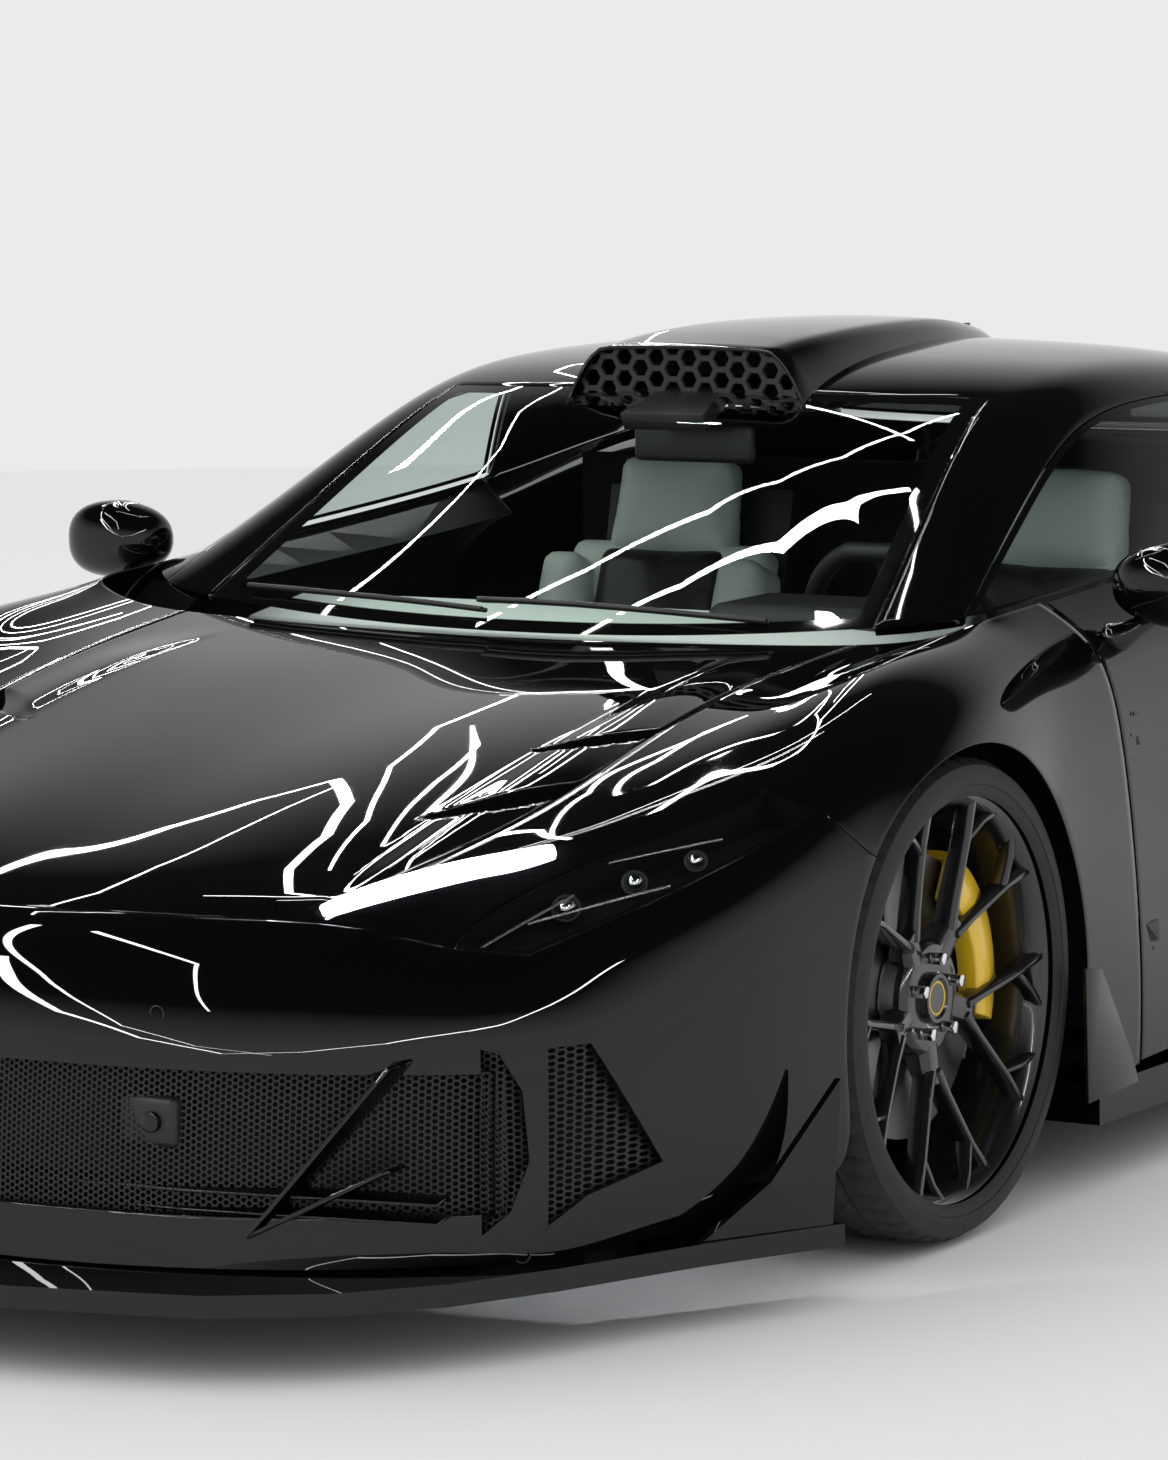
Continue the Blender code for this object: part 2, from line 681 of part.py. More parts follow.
# Front and engine lids, each on two pins along X near one edge
lid_pin_radius = 0.004
lid_pin_length = 0.044
lid_post_width = 0.012
lid_pin_depth = 0.013
lid_pin_inset = 0.016
lid_gap = 0.006
lid_edge_slope = 0.014
slot_side_gap = 0.005
bonnet_pin_x = 0.380
engine_lid_pin_x = 0.360


def lid_axis(panel, pin_x, rear_edge):
    """A point of a lid's hinge line, under its skin and just inside its hinged edge."""
    points, normals, parted = body
    near = [points[n] for face in parted[panel] for n in face]
    strip = [p for p in near if abs(p.x - pin_x) < half_width / 8]
    edge = max(strip, key=lambda p: p.y) if rear_edge else min(strip, key=lambda p: p.y)
    outermost = max(near, key=lambda p: p.y) if rear_edge else min(near, key=lambda p: p.y)
    inward = -lid_pin_inset if rear_edge else lid_pin_inset
    return Vector((0.0, edge.y + inward - (moving_gap if rear_edge else -moving_gap), edge.z - lid_pin_depth))


def hinged_lid(name, panel, pin_x, rear_edge):
    """A lid with a hole and a slot for each of its two hinge posts."""
    made = panel_solid(name, body, panel, gloss_black, lid_gap, bonnet_thickness, down, 0.0, lid_edge_slope)
    axis = lid_axis(panel, pin_x, rear_edge)
    cutters = []
    for turn in (1.0, -1.0):
        centre = Vector((turn * pin_x, axis.y, axis.z))
        half = Vector((lid_pin_length / 2 + slot_side_gap, 0.0, 0.0))
        cutters.append(drum("pin_hole", centre - half, centre + half, lid_pin_radius + seat_gap * 2, 8, gloss_black))
        half_slot = lid_post_width / 2 + slot_side_gap
        y_near = axis.y + (-1 if rear_edge else 1) * (lid_pin_radius + slot_side_gap)
        y_far = axis.y + (1 if rear_edge else -1) * bonnet_thickness * 3
        low = (centre.x - half_slot, min(y_near, y_far), centre.z - bonnet_thickness * 3)
        high = (centre.x + half_slot, max(y_near, y_far), centre.z + lid_pin_radius + seat_gap * 2)
        cutters.append(block("post_slot", low, high, gloss_black))
    return cut_solids(made, *cutters)


def hinge_posts(pin_x, axis, foot_z):
    """Posts with pins that carry a lid."""
    made = []
    for turn in (1.0, -1.0):
        centre = Vector((turn * pin_x, axis.y, axis.z))
        half = Vector((lid_pin_length / 2, 0.0, 0.0))
        made.append(drum("pin", centre - half, centre + half, lid_pin_radius, 8, satin_black))
        low = (centre.x - lid_post_width / 2, centre.y - lid_pin_radius, foot_z)
        high = (centre.x + lid_post_width / 2, centre.y + lid_pin_radius, centre.z)
        made.append(block("post", low, high, satin_black))
    return made


# Tub: floor, sills, bulkheads, luggage tub and wheel-arch liners
tub_floor_shares = ((0.160, -0.640, 0.086), (0.640, 0.640, 0.108))
sill_shares = ((0.160, 0.630, 0.086), (0.846,))
firewall_shares = ((-0.72, 0.086), (0.72, 0.600))
rear_bulkhead_shares = ((0.628, -0.66, 0.086), (0.640, 0.66, 0.800))
cowl_beam_shares = ((0.112, -0.66, 0.560), (0.66, 0.615))
a_post_shares = ((0.158, 0.66, 0.200), (0.190, 0.96, 0.560))
b_post_shares = ((0.628, 0.60, 0.200), (0.650, 1.00, 0.600))
luggage_outer_shares = ((-0.260, -0.440, 0.200), (0.165, 0.440, 0.470))
luggage_inner_shares = ((-0.254, -0.425, 0.212), (0.155, 0.425, 0.550))
engine_rail_shares = ((0.630, 0.340, 0.110), (1.230, 0.400))
rear_cross_shares = ((1.215, -0.620, 0.110), (1.240, 0.620, 0.330))
front_cross_shares = ((-0.286, -0.600, 0.205), (-0.258, 0.600, 0.330))
liner_thickness = 0.008
front_liner_radius = 0.397
rear_liner_radius = 0.383
front_liner_across_shares = (0.531, 0.857, 0.673)
rear_liner_across_shares = (0.571, 0.923, 0.633)
liner_seat = 0.018
sill_above_liner = 0.030
firewall_thickness = 0.050
liner_degrees = (-12, 192)
liner_steps = 10
brace_height = 0.030


def arch_liner(name, turn, axle_y, height, radius, across_shares):
    """A half-round liner over one wheel, which narrows over the damper."""
    sections = []
    span = [share * half_width for share in across_shares]
    start, end = (math.radians(d) for d in liner_degrees)
    for k in range(liner_steps + 1):
        angle = start + (end - start) * k / liner_steps
        section = []
        inner_x = span[0] + (span[2] - span[0]) * math.sin(angle) ** 4
        for x, r in ((inner_x, radius), (span[1], radius), (span[1], radius + liner_thickness), (inner_x, radius + liner_thickness)):
            section.append(Vector((turn * x, axle_y - r * math.cos(angle), height + r * math.sin(angle))))
        sections.append(section)
    return loft(name, sections, satin_black)


def wheel_height(tyre_radius):
    """The axle height of a tyre that stands on one of its flats."""
    return tyre_radius * math.cos(math.pi / wheel_sides)


def firewall_front_y():
    """The front face of the firewall, which carries the rear ends of the front liners."""
    return front_axle_y + front_liner_radius + liner_thickness / 4


def sill_corner():
    """The upper rear outer corner of a sill, which carries the front end of a rear liner."""
    start = math.radians(-liner_degrees[0])
    liner_end = wheel_height(rear_tyre_radius) - rear_liner_radius * math.sin(start)
    y = rear_axle_y - rear_liner_radius - liner_thickness + liner_seat
    return Vector((sill_shares[1][0] * half_width, y, liner_end + sill_above_liner))


def wall_pair(low, high):
    """A block of the left side and its mirror image on the right."""
    right_low = (-high[0], low[1], low[2])
    right_high = (-low[0], high[1], high[2])
    return [block("wall", low, high, satin_black), block("wall", right_low, right_high, satin_black)]


def rail_top_height():
    """The engine rails end just under the rear cross members."""
    return wheel_height(rear_tyre_radius) - upright_reach - arm_height * 2 - seat_gap


def tub():
    pieces = []
    base = share_block("tub", *tub_floor_shares, satin_black)
    for shares in (rear_bulkhead_shares, rear_cross_shares, front_cross_shares):
        pieces.append(share_block("wall", *shares, satin_black))
    firewall_rear = firewall_front_y() + firewall_thickness
    low = car_point(0.0, *firewall_shares[0])
    high = car_point(0.0, *firewall_shares[1])
    pieces.append(block("firewall", (low.x, firewall_front_y(), low.z), (high.x, firewall_rear, high.z), satin_black))
    high = car_point(0.0, *cowl_beam_shares[1])
    pieces.append(block("cowl_beam", car_point(*cowl_beam_shares[0]), (high.x, firewall_rear, high.z), satin_black))
    pieces += wall_pair(car_point(*sill_shares[0]), sill_corner())
    for low_shares, high_shares in (a_post_shares, b_post_shares):
        pieces += wall_pair(car_point(*low_shares), car_point(*high_shares))
    rail_end = car_point(*engine_rail_shares[1], 0.0)
    rail_end.z = rail_top_height()
    pieces += wall_pair(car_point(*engine_rail_shares[0]), rail_end)
    luggage = share_block("luggage", *luggage_outer_shares, satin_black)
    luggage = cut_solids(luggage, share_block("space", *luggage_inner_shares, satin_black))
    pieces.append(luggage)
    for side, turn in sides:
        pieces.append(arch_liner("liner", turn, front_axle_y, wheel_height(front_tyre_radius), front_liner_radius, front_liner_across_shares))
        pieces.append(arch_liner("liner", turn, rear_axle_y, wheel_height(rear_tyre_radius), rear_liner_radius, rear_liner_across_shares))
    for side, turn in sides:
        for level_share in door_pin_level_shares:
            centre = door_pin(level_share)
            centre.x *= turn
            axis = Vector((turn * door_axis.x, 0.0, door_axis.z))
            half_pin = axis * hinge_pin_length / 2
            pieces.append(drum("pin", centre - half_pin, centre + half_pin, hinge_pin_radius, 12, satin_black))
            low = (min(centre.x, turn * a_post_x), centre.y - hinge_plate_width / 2, centre.z - hinge_plate_height / 2)
            high = (max(centre.x, turn * a_post_x), centre.y + hinge_plate_width / 2, centre.z + hinge_plate_height / 2)
            pieces.append(block("plate", low, high, satin_black))
            post = car_point(a_post_shares[1][0], sill_shares[1][0], 0.0)
            low = (min(turn * a_post_x, turn * post.x), post.y - hinge_plate_width, centre.z - hinge_plate_height / 2)
            high = (max(turn * a_post_x, turn * post.x), centre.y + hinge_plate_width / 2, centre.z + hinge_plate_height / 2)
            pieces.append(block("plate", low, high, satin_black))
    pieces += hinge_posts(bonnet_pin_x, bonnet_axis, car_point(*cowl_beam_shares[0]).z)
    brace_low = engine_lid_axis.z - brace_height * 2.5
    pieces += hinge_posts(engine_lid_pin_x, engine_lid_axis, brace_low)
    for side, turn in sides:
        start = Vector((turn * engine_lid_pin_x, car_point(*rear_bulkhead_shares[0]).y, brace_low))
        end = Vector((turn * engine_lid_pin_x, engine_lid_axis.y + lid_pin_radius, brace_low))
        pieces.append(strut("brace", start, end, brace_height, brace_height))
    made = join_solids(base, *pieces)
    skins = []
    for side, turn in sides:
        for panel in ("front_fender_", "rear_quarter_"):
            skins.append(panel_solid("skin", body, panel + side, satin_black, -grille_overlap, roof_height / 6, None,
                                     skin_thickness + seat_gap * 2 - roof_height / 6))
    return cut_solids(made, *skins)


# Wheels
rim_lip = 0.010
rim_seat = 0.016
rim_flange = 0.012
rim_wall = 0.030
front_rim_width = 0.232
rear_rim_width = 0.292
tyre_bulge = 0.016
tyre_wall = 0.013
tyre_shoulder = 0.018
hub_radius = 0.068
hub_face_depth = 0.052
hub_length = 0.066
bell_radius = 0.086
disc_face_depth = 0.118
disc_sides = 20
cap_radius = 0.030
cap_height = 0.006
spoke_count = 5
spoke_start_degrees = 36.0
spoke_root_width = 0.040
spoke_arm_width = 0.017
spoke_twig_width = 0.010
spoke_root_depth = 0.034
spoke_arm_depth = 0.026
spoke_split_share = 0.40
spoke_fork_share = 0.80
spoke_arm_degrees = 22.0
spoke_twig_degrees = 14.0
spoke_rim_depth = 0.022


def polar(x, radius, degrees):
    angle = math.radians(degrees)
    return Vector((x, radius * math.sin(angle), radius * math.cos(angle)))


def bar(name, start, end, start_width, end_width, start_depth, end_depth, finish):
    """A tapered bar in the plane of a wheel: its outer face runs from start to end."""
    along = (end - start).normalized()
    across = Vector((1.0, 0.0, 0.0)).cross(along).normalized()
    back = Vector((-1.0, 0.0, 0.0))
    sections = []
    for centre, width, depth in ((start, start_width, start_depth), (end, end_width, end_depth)):
        sections.append([
            centre + across * width / 2, centre - across * width / 2,
            centre - across * width / 2 + back * depth, centre + across * width / 2 + back * depth,
        ])
    return loft(name, sections, finish)


def spokes(rim_radius):
    """Five forked spokes: each stem parts in two arms, and each arm forks once more at the rim."""
    made = []
    stem_end = rim_radius * spoke_split_share
    fork = rim_radius * spoke_fork_share
    rim_end = rim_radius - rim_seat - rim_wall / 4
    for n in range(spoke_count):
        centre = spoke_start_degrees + 360.0 * n / spoke_count
        made.append(bar("stem", polar(-hub_face_depth, 0.0, centre) + polar(0.0, hub_radius / 2, centre),
                        polar(-hub_face_depth * 0.8, stem_end, centre),
                        spoke_root_width, spoke_root_width, spoke_root_depth, spoke_root_depth, forged_black))
        for way in (-1.0, 1.0):
            rim_angle = centre + way * spoke_arm_degrees
            root = polar(-hub_face_depth * 0.8, stem_end * 0.94, centre + way * 4.0)
            tip = polar(-spoke_rim_depth, rim_end, rim_angle)
            made.append(bar("arm", root, tip, spoke_arm_width, spoke_arm_width * 0.8, spoke_root_depth, spoke_arm_depth, forged_black))
            part = (fork - stem_end) / (rim_end - stem_end)
            knot = root.lerp(tip, part)
            twig_tip = polar(-spoke_rim_depth, rim_end, rim_angle - way * spoke_twig_degrees)
            made.append(bar("twig", knot, twig_tip, spoke_twig_width, spoke_twig_width, spoke_arm_depth, spoke_arm_depth * 0.9, forged_black))
    return made


def wheel(name, rim_radius, rim_width, finish):
    """A forged wheel with its brake disc, its outer flange in the plane x = 0."""
    w = rim_width
    profile = (
        (0.0, rim_radius), (0.0, rim_radius - rim_lip), (-rim_flange * 3, rim_radius - rim_seat - rim_wall),
        (-w + rim_flange * 2, rim_radius - rim_seat - rim_wall), (-w, rim_radius - rim_lip), (-w, rim_radius),
        (-w + rim_flange, rim_radius - rim_seat), (-rim_flange, rim_radius - rim_seat),
    )
    origin = Vector()
    made = ring(name, profile, origin, wheel_sides, finish)
    hub = drum("hub", polar(-hub_face_depth, 0, 0), polar(-hub_face_depth - hub_length, 0, 0), hub_radius, 20, finish)
    bell = drum("bell", polar(-disc_face_depth + rim_flange, 0, 0), polar(-disc_face_depth - disc_thickness, 0, 0),
                bell_radius, 20, finish)
    disc = drum("disc", polar(-disc_face_depth, 0, 0), polar(-disc_face_depth - disc_thickness, 0, 0), disc_radius,
                disc_sides, finish)
    cap = drum("cap", polar(-hub_face_depth + cap_height, 0, 0), polar(-hub_face_depth - cap_height, 0, 0), cap_radius, 16, finish)
    return smooth_round(join_solids(made, *spokes(rim_radius), hub, bell, disc, cap))


def tyre(name, rim_radius, rim_width, tyre_radius, finish):
    """A hollow tyre: tread, shoulders, walls and the two beads that sit on the rim."""
    w = rim_width
    seat = rim_radius - rim_seat + seat_gap * 2
    middle = (rim_radius + tyre_radius) / 2
    outer = [
        (-rim_flange - seat_gap * 2, seat), (-rim_flange - seat_gap * 2, rim_radius + seat_gap * 2),
        (tyre_bulge, middle), (tyre_bulge - tyre_shoulder * 0.6, tyre_radius - tyre_shoulder), (-tyre_shoulder, tyre_radius),
    ]
    inner = [(-rim_flange - tyre_wall, seat), (-tyre_shoulder, tyre_radius - tyre_wall)]
    profile = outer + [(-w - x, r) for x, r in reversed(outer)]
    profile += [(-w - x, r) for x, r in inner] + list(reversed(inner))
    return ring(name, profile, Vector(), wheel_sides, finish)


# Uprights and suspension
kingpin_inset = 0.170
kingpin_x = front_wheel_face_x - kingpin_inset
steer_degrees = 30
upright_width = 0.090
upright_depth = 0.034
upright_reach = 0.128
pad_radius = 0.020
pad_height = 0.016
bearing_radius = 0.048
arm_height = 0.018
arm_root_spread = 0.170
arm_width = 0.026
arm_root_x = luggage_outer_shares[1][1] * half_width + arm_width + seat_gap
caliper_inner = 0.142
caliper_outer = 0.232
caliper_wall = 0.022
caliper_gap = 0.0055
caliper_degrees = (62, 122)
caliper_steps = 3
damper_radius = 0.034
damper_foot_share = 0.55


def caliper(turn, face_x, centre, facing):
    """A brake caliper round the edge of the disc. facing is +1 behind the axle and -1 in front of it."""
    disc_out = face_x - disc_face_depth
    disc_in = disc_out - disc_thickness
    sections = []
    for k in range(caliper_steps + 1):
        degrees = caliper_degrees[0] + (caliper_degrees[1] - caliper_degrees[0]) * k / caliper_steps
        section = []
        for x, r in (
            (disc_out + caliper_gap + caliper_wall, caliper_inner), (disc_out + caliper_gap + caliper_wall, caliper_outer),
            (disc_in - caliper_gap - caliper_wall, caliper_outer), (disc_in - caliper_gap - caliper_wall, caliper_inner),
            (disc_in - caliper_gap, caliper_inner), (disc_in - caliper_gap, disc_radius + caliper_gap),
            (disc_out + caliper_gap, disc_radius + caliper_gap), (disc_out + caliper_gap, caliper_inner),
        ):
            point = polar(0.0, r, degrees * facing)
            section.append(Vector((turn * x, centre.y + point.y, centre.z + point.z)))
        sections.append(section)
    return loft("caliper", sections, caliper_yellow)


def knuckle(name, turn, face_x, centre, facing):
    """An upright with its bearing, ball-joint pads and caliper."""
    inner_face = face_x - disc_face_depth - disc_thickness - seat_gap * 2
    made = drum(name, Vector((turn * inner_face, centre.y, centre.z)),
                Vector((turn * (kingpin_x - upright_depth), centre.y, centre.z)), bearing_radius, 12, bare_metal)
    plate = block("plate", (min(turn * (kingpin_x - upright_depth / 2), turn * (kingpin_x + upright_depth / 4)), centre.y - upright_width / 2, centre.z - upright_reach),
                  (max(turn * (kingpin_x - upright_depth / 2), turn * (kingpin_x + upright_depth / 4)), centre.y + upright_width / 2, centre.z + upright_reach), bare_metal)
    pieces = [plate]
    for way in (-1.0, 1.0):
        start = Vector((turn * (kingpin_x - upright_depth / 2), centre.y, centre.z + way * (upright_reach - pad_height)))
        pieces.append(drum("pad", start, start + Vector((0.0, 0.0, way * pad_height)), pad_radius, 8, bare_metal))
    grip = caliper(turn, face_x, centre, facing)
    grip_inner = face_x - disc_face_depth - disc_thickness - caliper_gap - caliper_wall
    x_low, x_high = sorted((turn * (kingpin_x - upright_depth / 2), turn * (grip_inner + caliper_wall / 2)))
    reach = facing * (caliper_inner + caliper_wall)
    y_low, y_high = sorted((centre.y, centre.y + reach))
    pieces.append(block("bracket", (x_low, y_low, centre.z - upright_depth), (x_high, y_high, centre.z + upright_depth), bare_metal))
    pieces.append(grip)
    return join_solids(made, *pieces)


def subframe(name, axle_y, height):
    """Wishbones and dampers of one axle on their cross member."""
    base = block(name, (-arm_root_x - arm_width, axle_y - arm_root_spread - arm_width, height - upright_reach - arm_height * 2),
                 (arm_root_x + arm_width, axle_y - arm_root_spread + arm_width, height - upright_reach + arm_height), satin_black)
    pieces = [block("cross", (-arm_root_x - arm_width, axle_y + arm_root_spread - arm_width, height - upright_reach - arm_height * 2),
                    (arm_root_x + arm_width, axle_y + arm_root_spread + arm_width, height - upright_reach + arm_height), satin_black)]
    for turn in (1.0, -1.0):
        x_low, x_high = sorted((turn * (arm_root_x - arm_width), turn * (arm_root_x + arm_width)))
        for y in (axle_y - arm_root_spread, axle_y + arm_root_spread):
            pieces.append(block("rail", (x_low, y - arm_width, height - upright_reach - arm_height),
                                (x_high, y + arm_width, height + upright_reach + arm_height * 3), satin_black))
        pieces.append(block("rail", (x_low, axle_y - arm_root_spread, height - upright_reach - arm_height * 2),
                            (x_high, axle_y + arm_root_spread, height - upright_reach), satin_black))
        ball_x = turn * (kingpin_x - upright_depth / 2)
        for way in (-1.0, 1.0):
            level = height + way * (upright_reach + seat_gap)
            start = Vector((ball_x, axle_y, level))
            pieces.append(drum("ball", start, start + Vector((0.0, 0.0, way * arm_height)), pad_radius, 8, satin_black))
            for y in (axle_y - arm_root_spread, axle_y + arm_root_spread):
                root = Vector((turn * arm_root_x, y, level + way * arm_height / 2))
                tip = Vector((ball_x, axle_y, level + way * arm_height / 2))
                pieces.append(strut("arm", root, tip, arm_width, arm_height * 0.96))
        pieces.append(block("rail", (x_low, axle_y - arm_root_spread, height + upright_reach + arm_height * 2),
                            (x_high, axle_y + arm_root_spread, height + upright_reach + arm_height * 3), satin_black))
        foot_x = turn * (arm_root_x + (kingpin_x - arm_root_x) * damper_foot_share)
        foot = Vector((foot_x, axle_y, height - upright_reach - arm_height / 2))
        half_tie = Vector((0.0, arm_root_spread * (1 - damper_foot_share), 0.0))
        pieces.append(strut("tie", foot - half_tie, foot + half_tie, arm_width, arm_height * 0.9))
        head = Vector((turn * (arm_root_x + arm_width * 0.6), axle_y, height + upright_reach + arm_height * 4))
        pieces.append(drum("damper", foot, head, damper_radius, 8, satin_black))
    return join_solids(base, *pieces)


def strut(name, start, end, width, height):
    """A flat bar between two points, with level upper and lower faces."""
    along = (end - start).normalized()
    across = Vector((0.0, 0.0, 1.0)).cross(along).normalized()
    rise = Vector((0.0, 0.0, height / 2))
    sections = []
    for centre in (start, end):
        sections.append([centre + across * width / 2 + rise, centre - across * width / 2 + rise,
                         centre - across * width / 2 - rise, centre + across * width / 2 - rise])
    return loft(name, sections, satin_black)


# Splitter, skirts, diffuser and wing
splitter_outline_shares = (
    (-0.4769, 0.0), (-0.473, 0.204), (-0.4485, 0.460), (-0.416, 0.603), (-0.372, 0.710), (-0.3185, 0.790),
    (-0.240, 0.884), (-0.165, 0.992), (-0.165, 0.860), (-0.255, 0.700), (-0.285, 0.0),
)
splitter_height_shares = (0.074, 0.0992)
splitter_fin_shares = ((-0.245, 0.868, 0.086), (-0.170, 0.980, 0.086), (-0.170, 0.995, 0.268), (-0.206, 0.940, 0.160))
fin_thickness = 0.009
skirt_outline_shares = (
    (0.156, 0.8464), (0.156, 0.962), (0.250, 0.975), (0.700, 0.985), (0.838, 0.985), (0.838, 0.8464),
)
skirt_height_shares = (0.080, 0.130)
skirt_fin_shares = ((0.100, 0.990, 0.130), (0.187, 0.990, 0.170), (0.127, 0.990, 0.291), (0.100, 0.985, 0.300))
diffuser_outline_shares = ((1.145, 0.0, 0.108), (1.300, 0.0, 0.150), (1.3385, 0.0, 0.172))


def plate(name, outline, low, high, finish):
    """A level plate from an outline of (x, y) and its two heights."""
    return loft(name, [[Vector((x, y, z)) for x, y in outline] for z in (low, high)], finish)


def splitter():
    half = [(across * half_width, front_axle_y + along * wheelbase) for along, across in splitter_outline_shares]
    outline = half + [(-x, y) for x, y in reversed(half[1:-1])]
    made = plate("front_splitter", outline, *(share * roof_height for share in splitter_height_shares), gloss_black)
    fins = []
    for turn in (1.0, -1.0):
        corners = [car_point(*shares) for shares in splitter_fin_shares]
        outer = [Vector((turn * c.x, c.y, c.z)) for c in corners]
        inner = [Vector((turn * (c.x - fin_thickness), c.y, c.z)) for c in corners]
        fins.append(loft("fin", [outer, inner], gloss_black))
    return join_solids(made, *fins)


def skirt(name, turn):
    outline = [(turn * across * half_width, front_axle_y + along * wheelbase) for along, across in skirt_outline_shares]
    made = plate(name, outline, *(share * roof_height for share in skirt_height_shares), satin_black)
    return made


# Roof scoop: (along, half width at the foot, half width at the top, height of the top) for each section
scoop_section_shares = (
    (0.338, 0.219, 0.150, 1.008), (0.400, 0.222, 0.158, 1.020), (0.480, 0.218, 0.150, 1.027),
    (0.580, 0.190, 0.120, 1.022), (0.660, 0.140, 0.085, 1.000), (0.700, 0.110, 0.060, 0.980),
)
scoop_wall = 0.008
scoop_foot_share = 0.930


def scoop_section(along_share, foot_share, top_share, height_share, inset):
    """An arched section of the scoop, from one foot to the other."""
    foot = foot_share * half_width - inset
    top = top_share * half_width - inset
    peak = height_share * roof_height - inset
    low = scoop_foot_share * roof_height - roof_thickness
    y = front_axle_y + along_share * wheelbase
    arch = [(foot, low), (foot * 0.97, peak - (foot - top) * 0.75), (top, peak), (0.0, peak + inset / 3)]
    arch += [(-x, z) for x, z in reversed(arch[:-1])]
    return [Vector((x, y, z)) for x, z in arch]


def roof_scoop():
    sections = []
    for shares in scoop_section_shares:
        sections.append(scoop_section(*shares, 0.0) + list(reversed(scoop_section(*shares, scoop_wall))))
    made = loft("roof_scoop", sections, gloss_black)
    back = loft("back", [scoop_section(*shares, scoop_wall / 2) for shares in scoop_section_shares[-3:]], gloss_black)
    made = join_solids(made, back)
    points, normals, parted = greenhouse
    raised = ([p + Vector((0.0, 0.0, seat_gap * 2)) for p in points], normals, {"roof": parted["roof"] + parted["windscreen"]})
    below = panel_solid("below", raised, "roof", gloss_black, 0.0, roof_height / 3, down)
    return cut_solids(made, below)


# Mirrors: sections across the head as (x share, y and z half sizes as shares of the head's), and the arm
mirror_centre_share = (0.254, 0.965, 0.735)
mirror_half = (0.088, 0.056, 0.064)
mirror_section_shares = ((-1.0, 0.35), (-0.8, 0.78), (-0.2, 1.0), (0.5, 0.92), (0.88, 0.60), (1.0, 0.25))
mirror_sides = 12
mirror_arm_shares = ((0.232, 0.845, 0.690), (0.240, 0.900, 0.688), (0.250, 0.935, 0.705))
mirror_arm_widths = (0.050, 0.036, 0.040)
mirror_arm_height = 0.022


def mirror(name, side, turn):
    centre = car_point(*mirror_centre_share)
    sections = []
    for x_share, size_share in mirror_section_shares:
        section = []
        for k in range(mirror_sides):
            angle = math.tau * k / mirror_sides
            section.append(Vector((turn * (centre.x + x_share * mirror_half[0]),
                                   centre.y + size_share * mirror_half[1] * math.cos(angle),
                                   centre.z + size_share * mirror_half[2] * math.sin(angle))))
        sections.append(section)
    made = loft(name, sections, gloss_black)
    stations = []
    for shares, width in zip(mirror_arm_shares, mirror_arm_widths):
        place = car_point(*shares)
        stations.append([Vector((turn * place.x, place.y + y, place.z + z)) for y, z in (
            (-width / 2, -mirror_arm_height / 2), (width / 2, -mirror_arm_height / 2),
            (width / 2, mirror_arm_height / 2), (-width / 2, mirror_arm_height / 2))])
    made = join_solids(made, loft("arm", stations, gloss_black))
    points, normals, parted = body
    door_skin = ([p + Vector((turn * seat_gap * 2, 0.0, 0.0)) for p in points], normals, {"door": parted["door_" + side]})
    inside = panel_solid("inside", door_skin, "door", gloss_black, -grille_overlap, door_thickness, (-turn, 0.0, 0.0))
    return smooth_round(cut_solids(made, inside))


# Rear wing: blade sections and two uprights
wing_section_shares = ((0.0, 0.848), (0.35, 0.852), (0.62, 0.860), (0.735, 0.850))
wing_nose_share = 1.215
wing_chord = 0.230
wing_depth = 0.026
upright_share = (0.40, 0.725)
upright_chord_shares = (0.25, 0.75)
upright_thickness = 0.012
wing_profile_shares = ((0.0, 0.0), (0.18, 0.48), (0.55, 0.42), (1.0, 0.55), (0.97, 0.42), (0.55, -0.32), (0.18, -0.52))


def wing():
    sections = []
    spans = [(-x, z) for x, z in reversed(wing_section_shares[1:])] + list(wing_section_shares)
    for across_share, height_share in spans:
        sweep = abs(across_share) * wing_chord / 4
        origin = car_point(wing_nose_share, across_share, height_share)
        sections.append([origin + Vector((0.0, sweep + a * wing_chord, h * wing_depth)) for a, h in wing_profile_shares])
    made = loft("rear_wing", sections, gloss_black)
    stands = []
    for turn in (1.0, -1.0):
        foot = car_point(wing_nose_share, upright_share[0], upright_share[1])
        low = (turn * foot.x - upright_thickness / 2, foot.y + wing_chord * upright_chord_shares[0], foot.z)
        high = (turn * foot.x + upright_thickness / 2, foot.y + wing_chord * upright_chord_shares[1], wing_section_shares[1][1] * roof_height)
        stands.append(block("stand", low, high, gloss_black))
    made = join_solids(made, *stands)
    points, normals, parted = body
    raised = ([p + Vector((0.0, 0.0, seat_gap * 2)) for p in points], normals, {"deck": parted["engine_lid"] + parted["rear_bumper"]})
    below = panel_solid("below", raised, "deck", gloss_black, 0.0, roof_height / 6, down)
    return cut_solids(made, below)


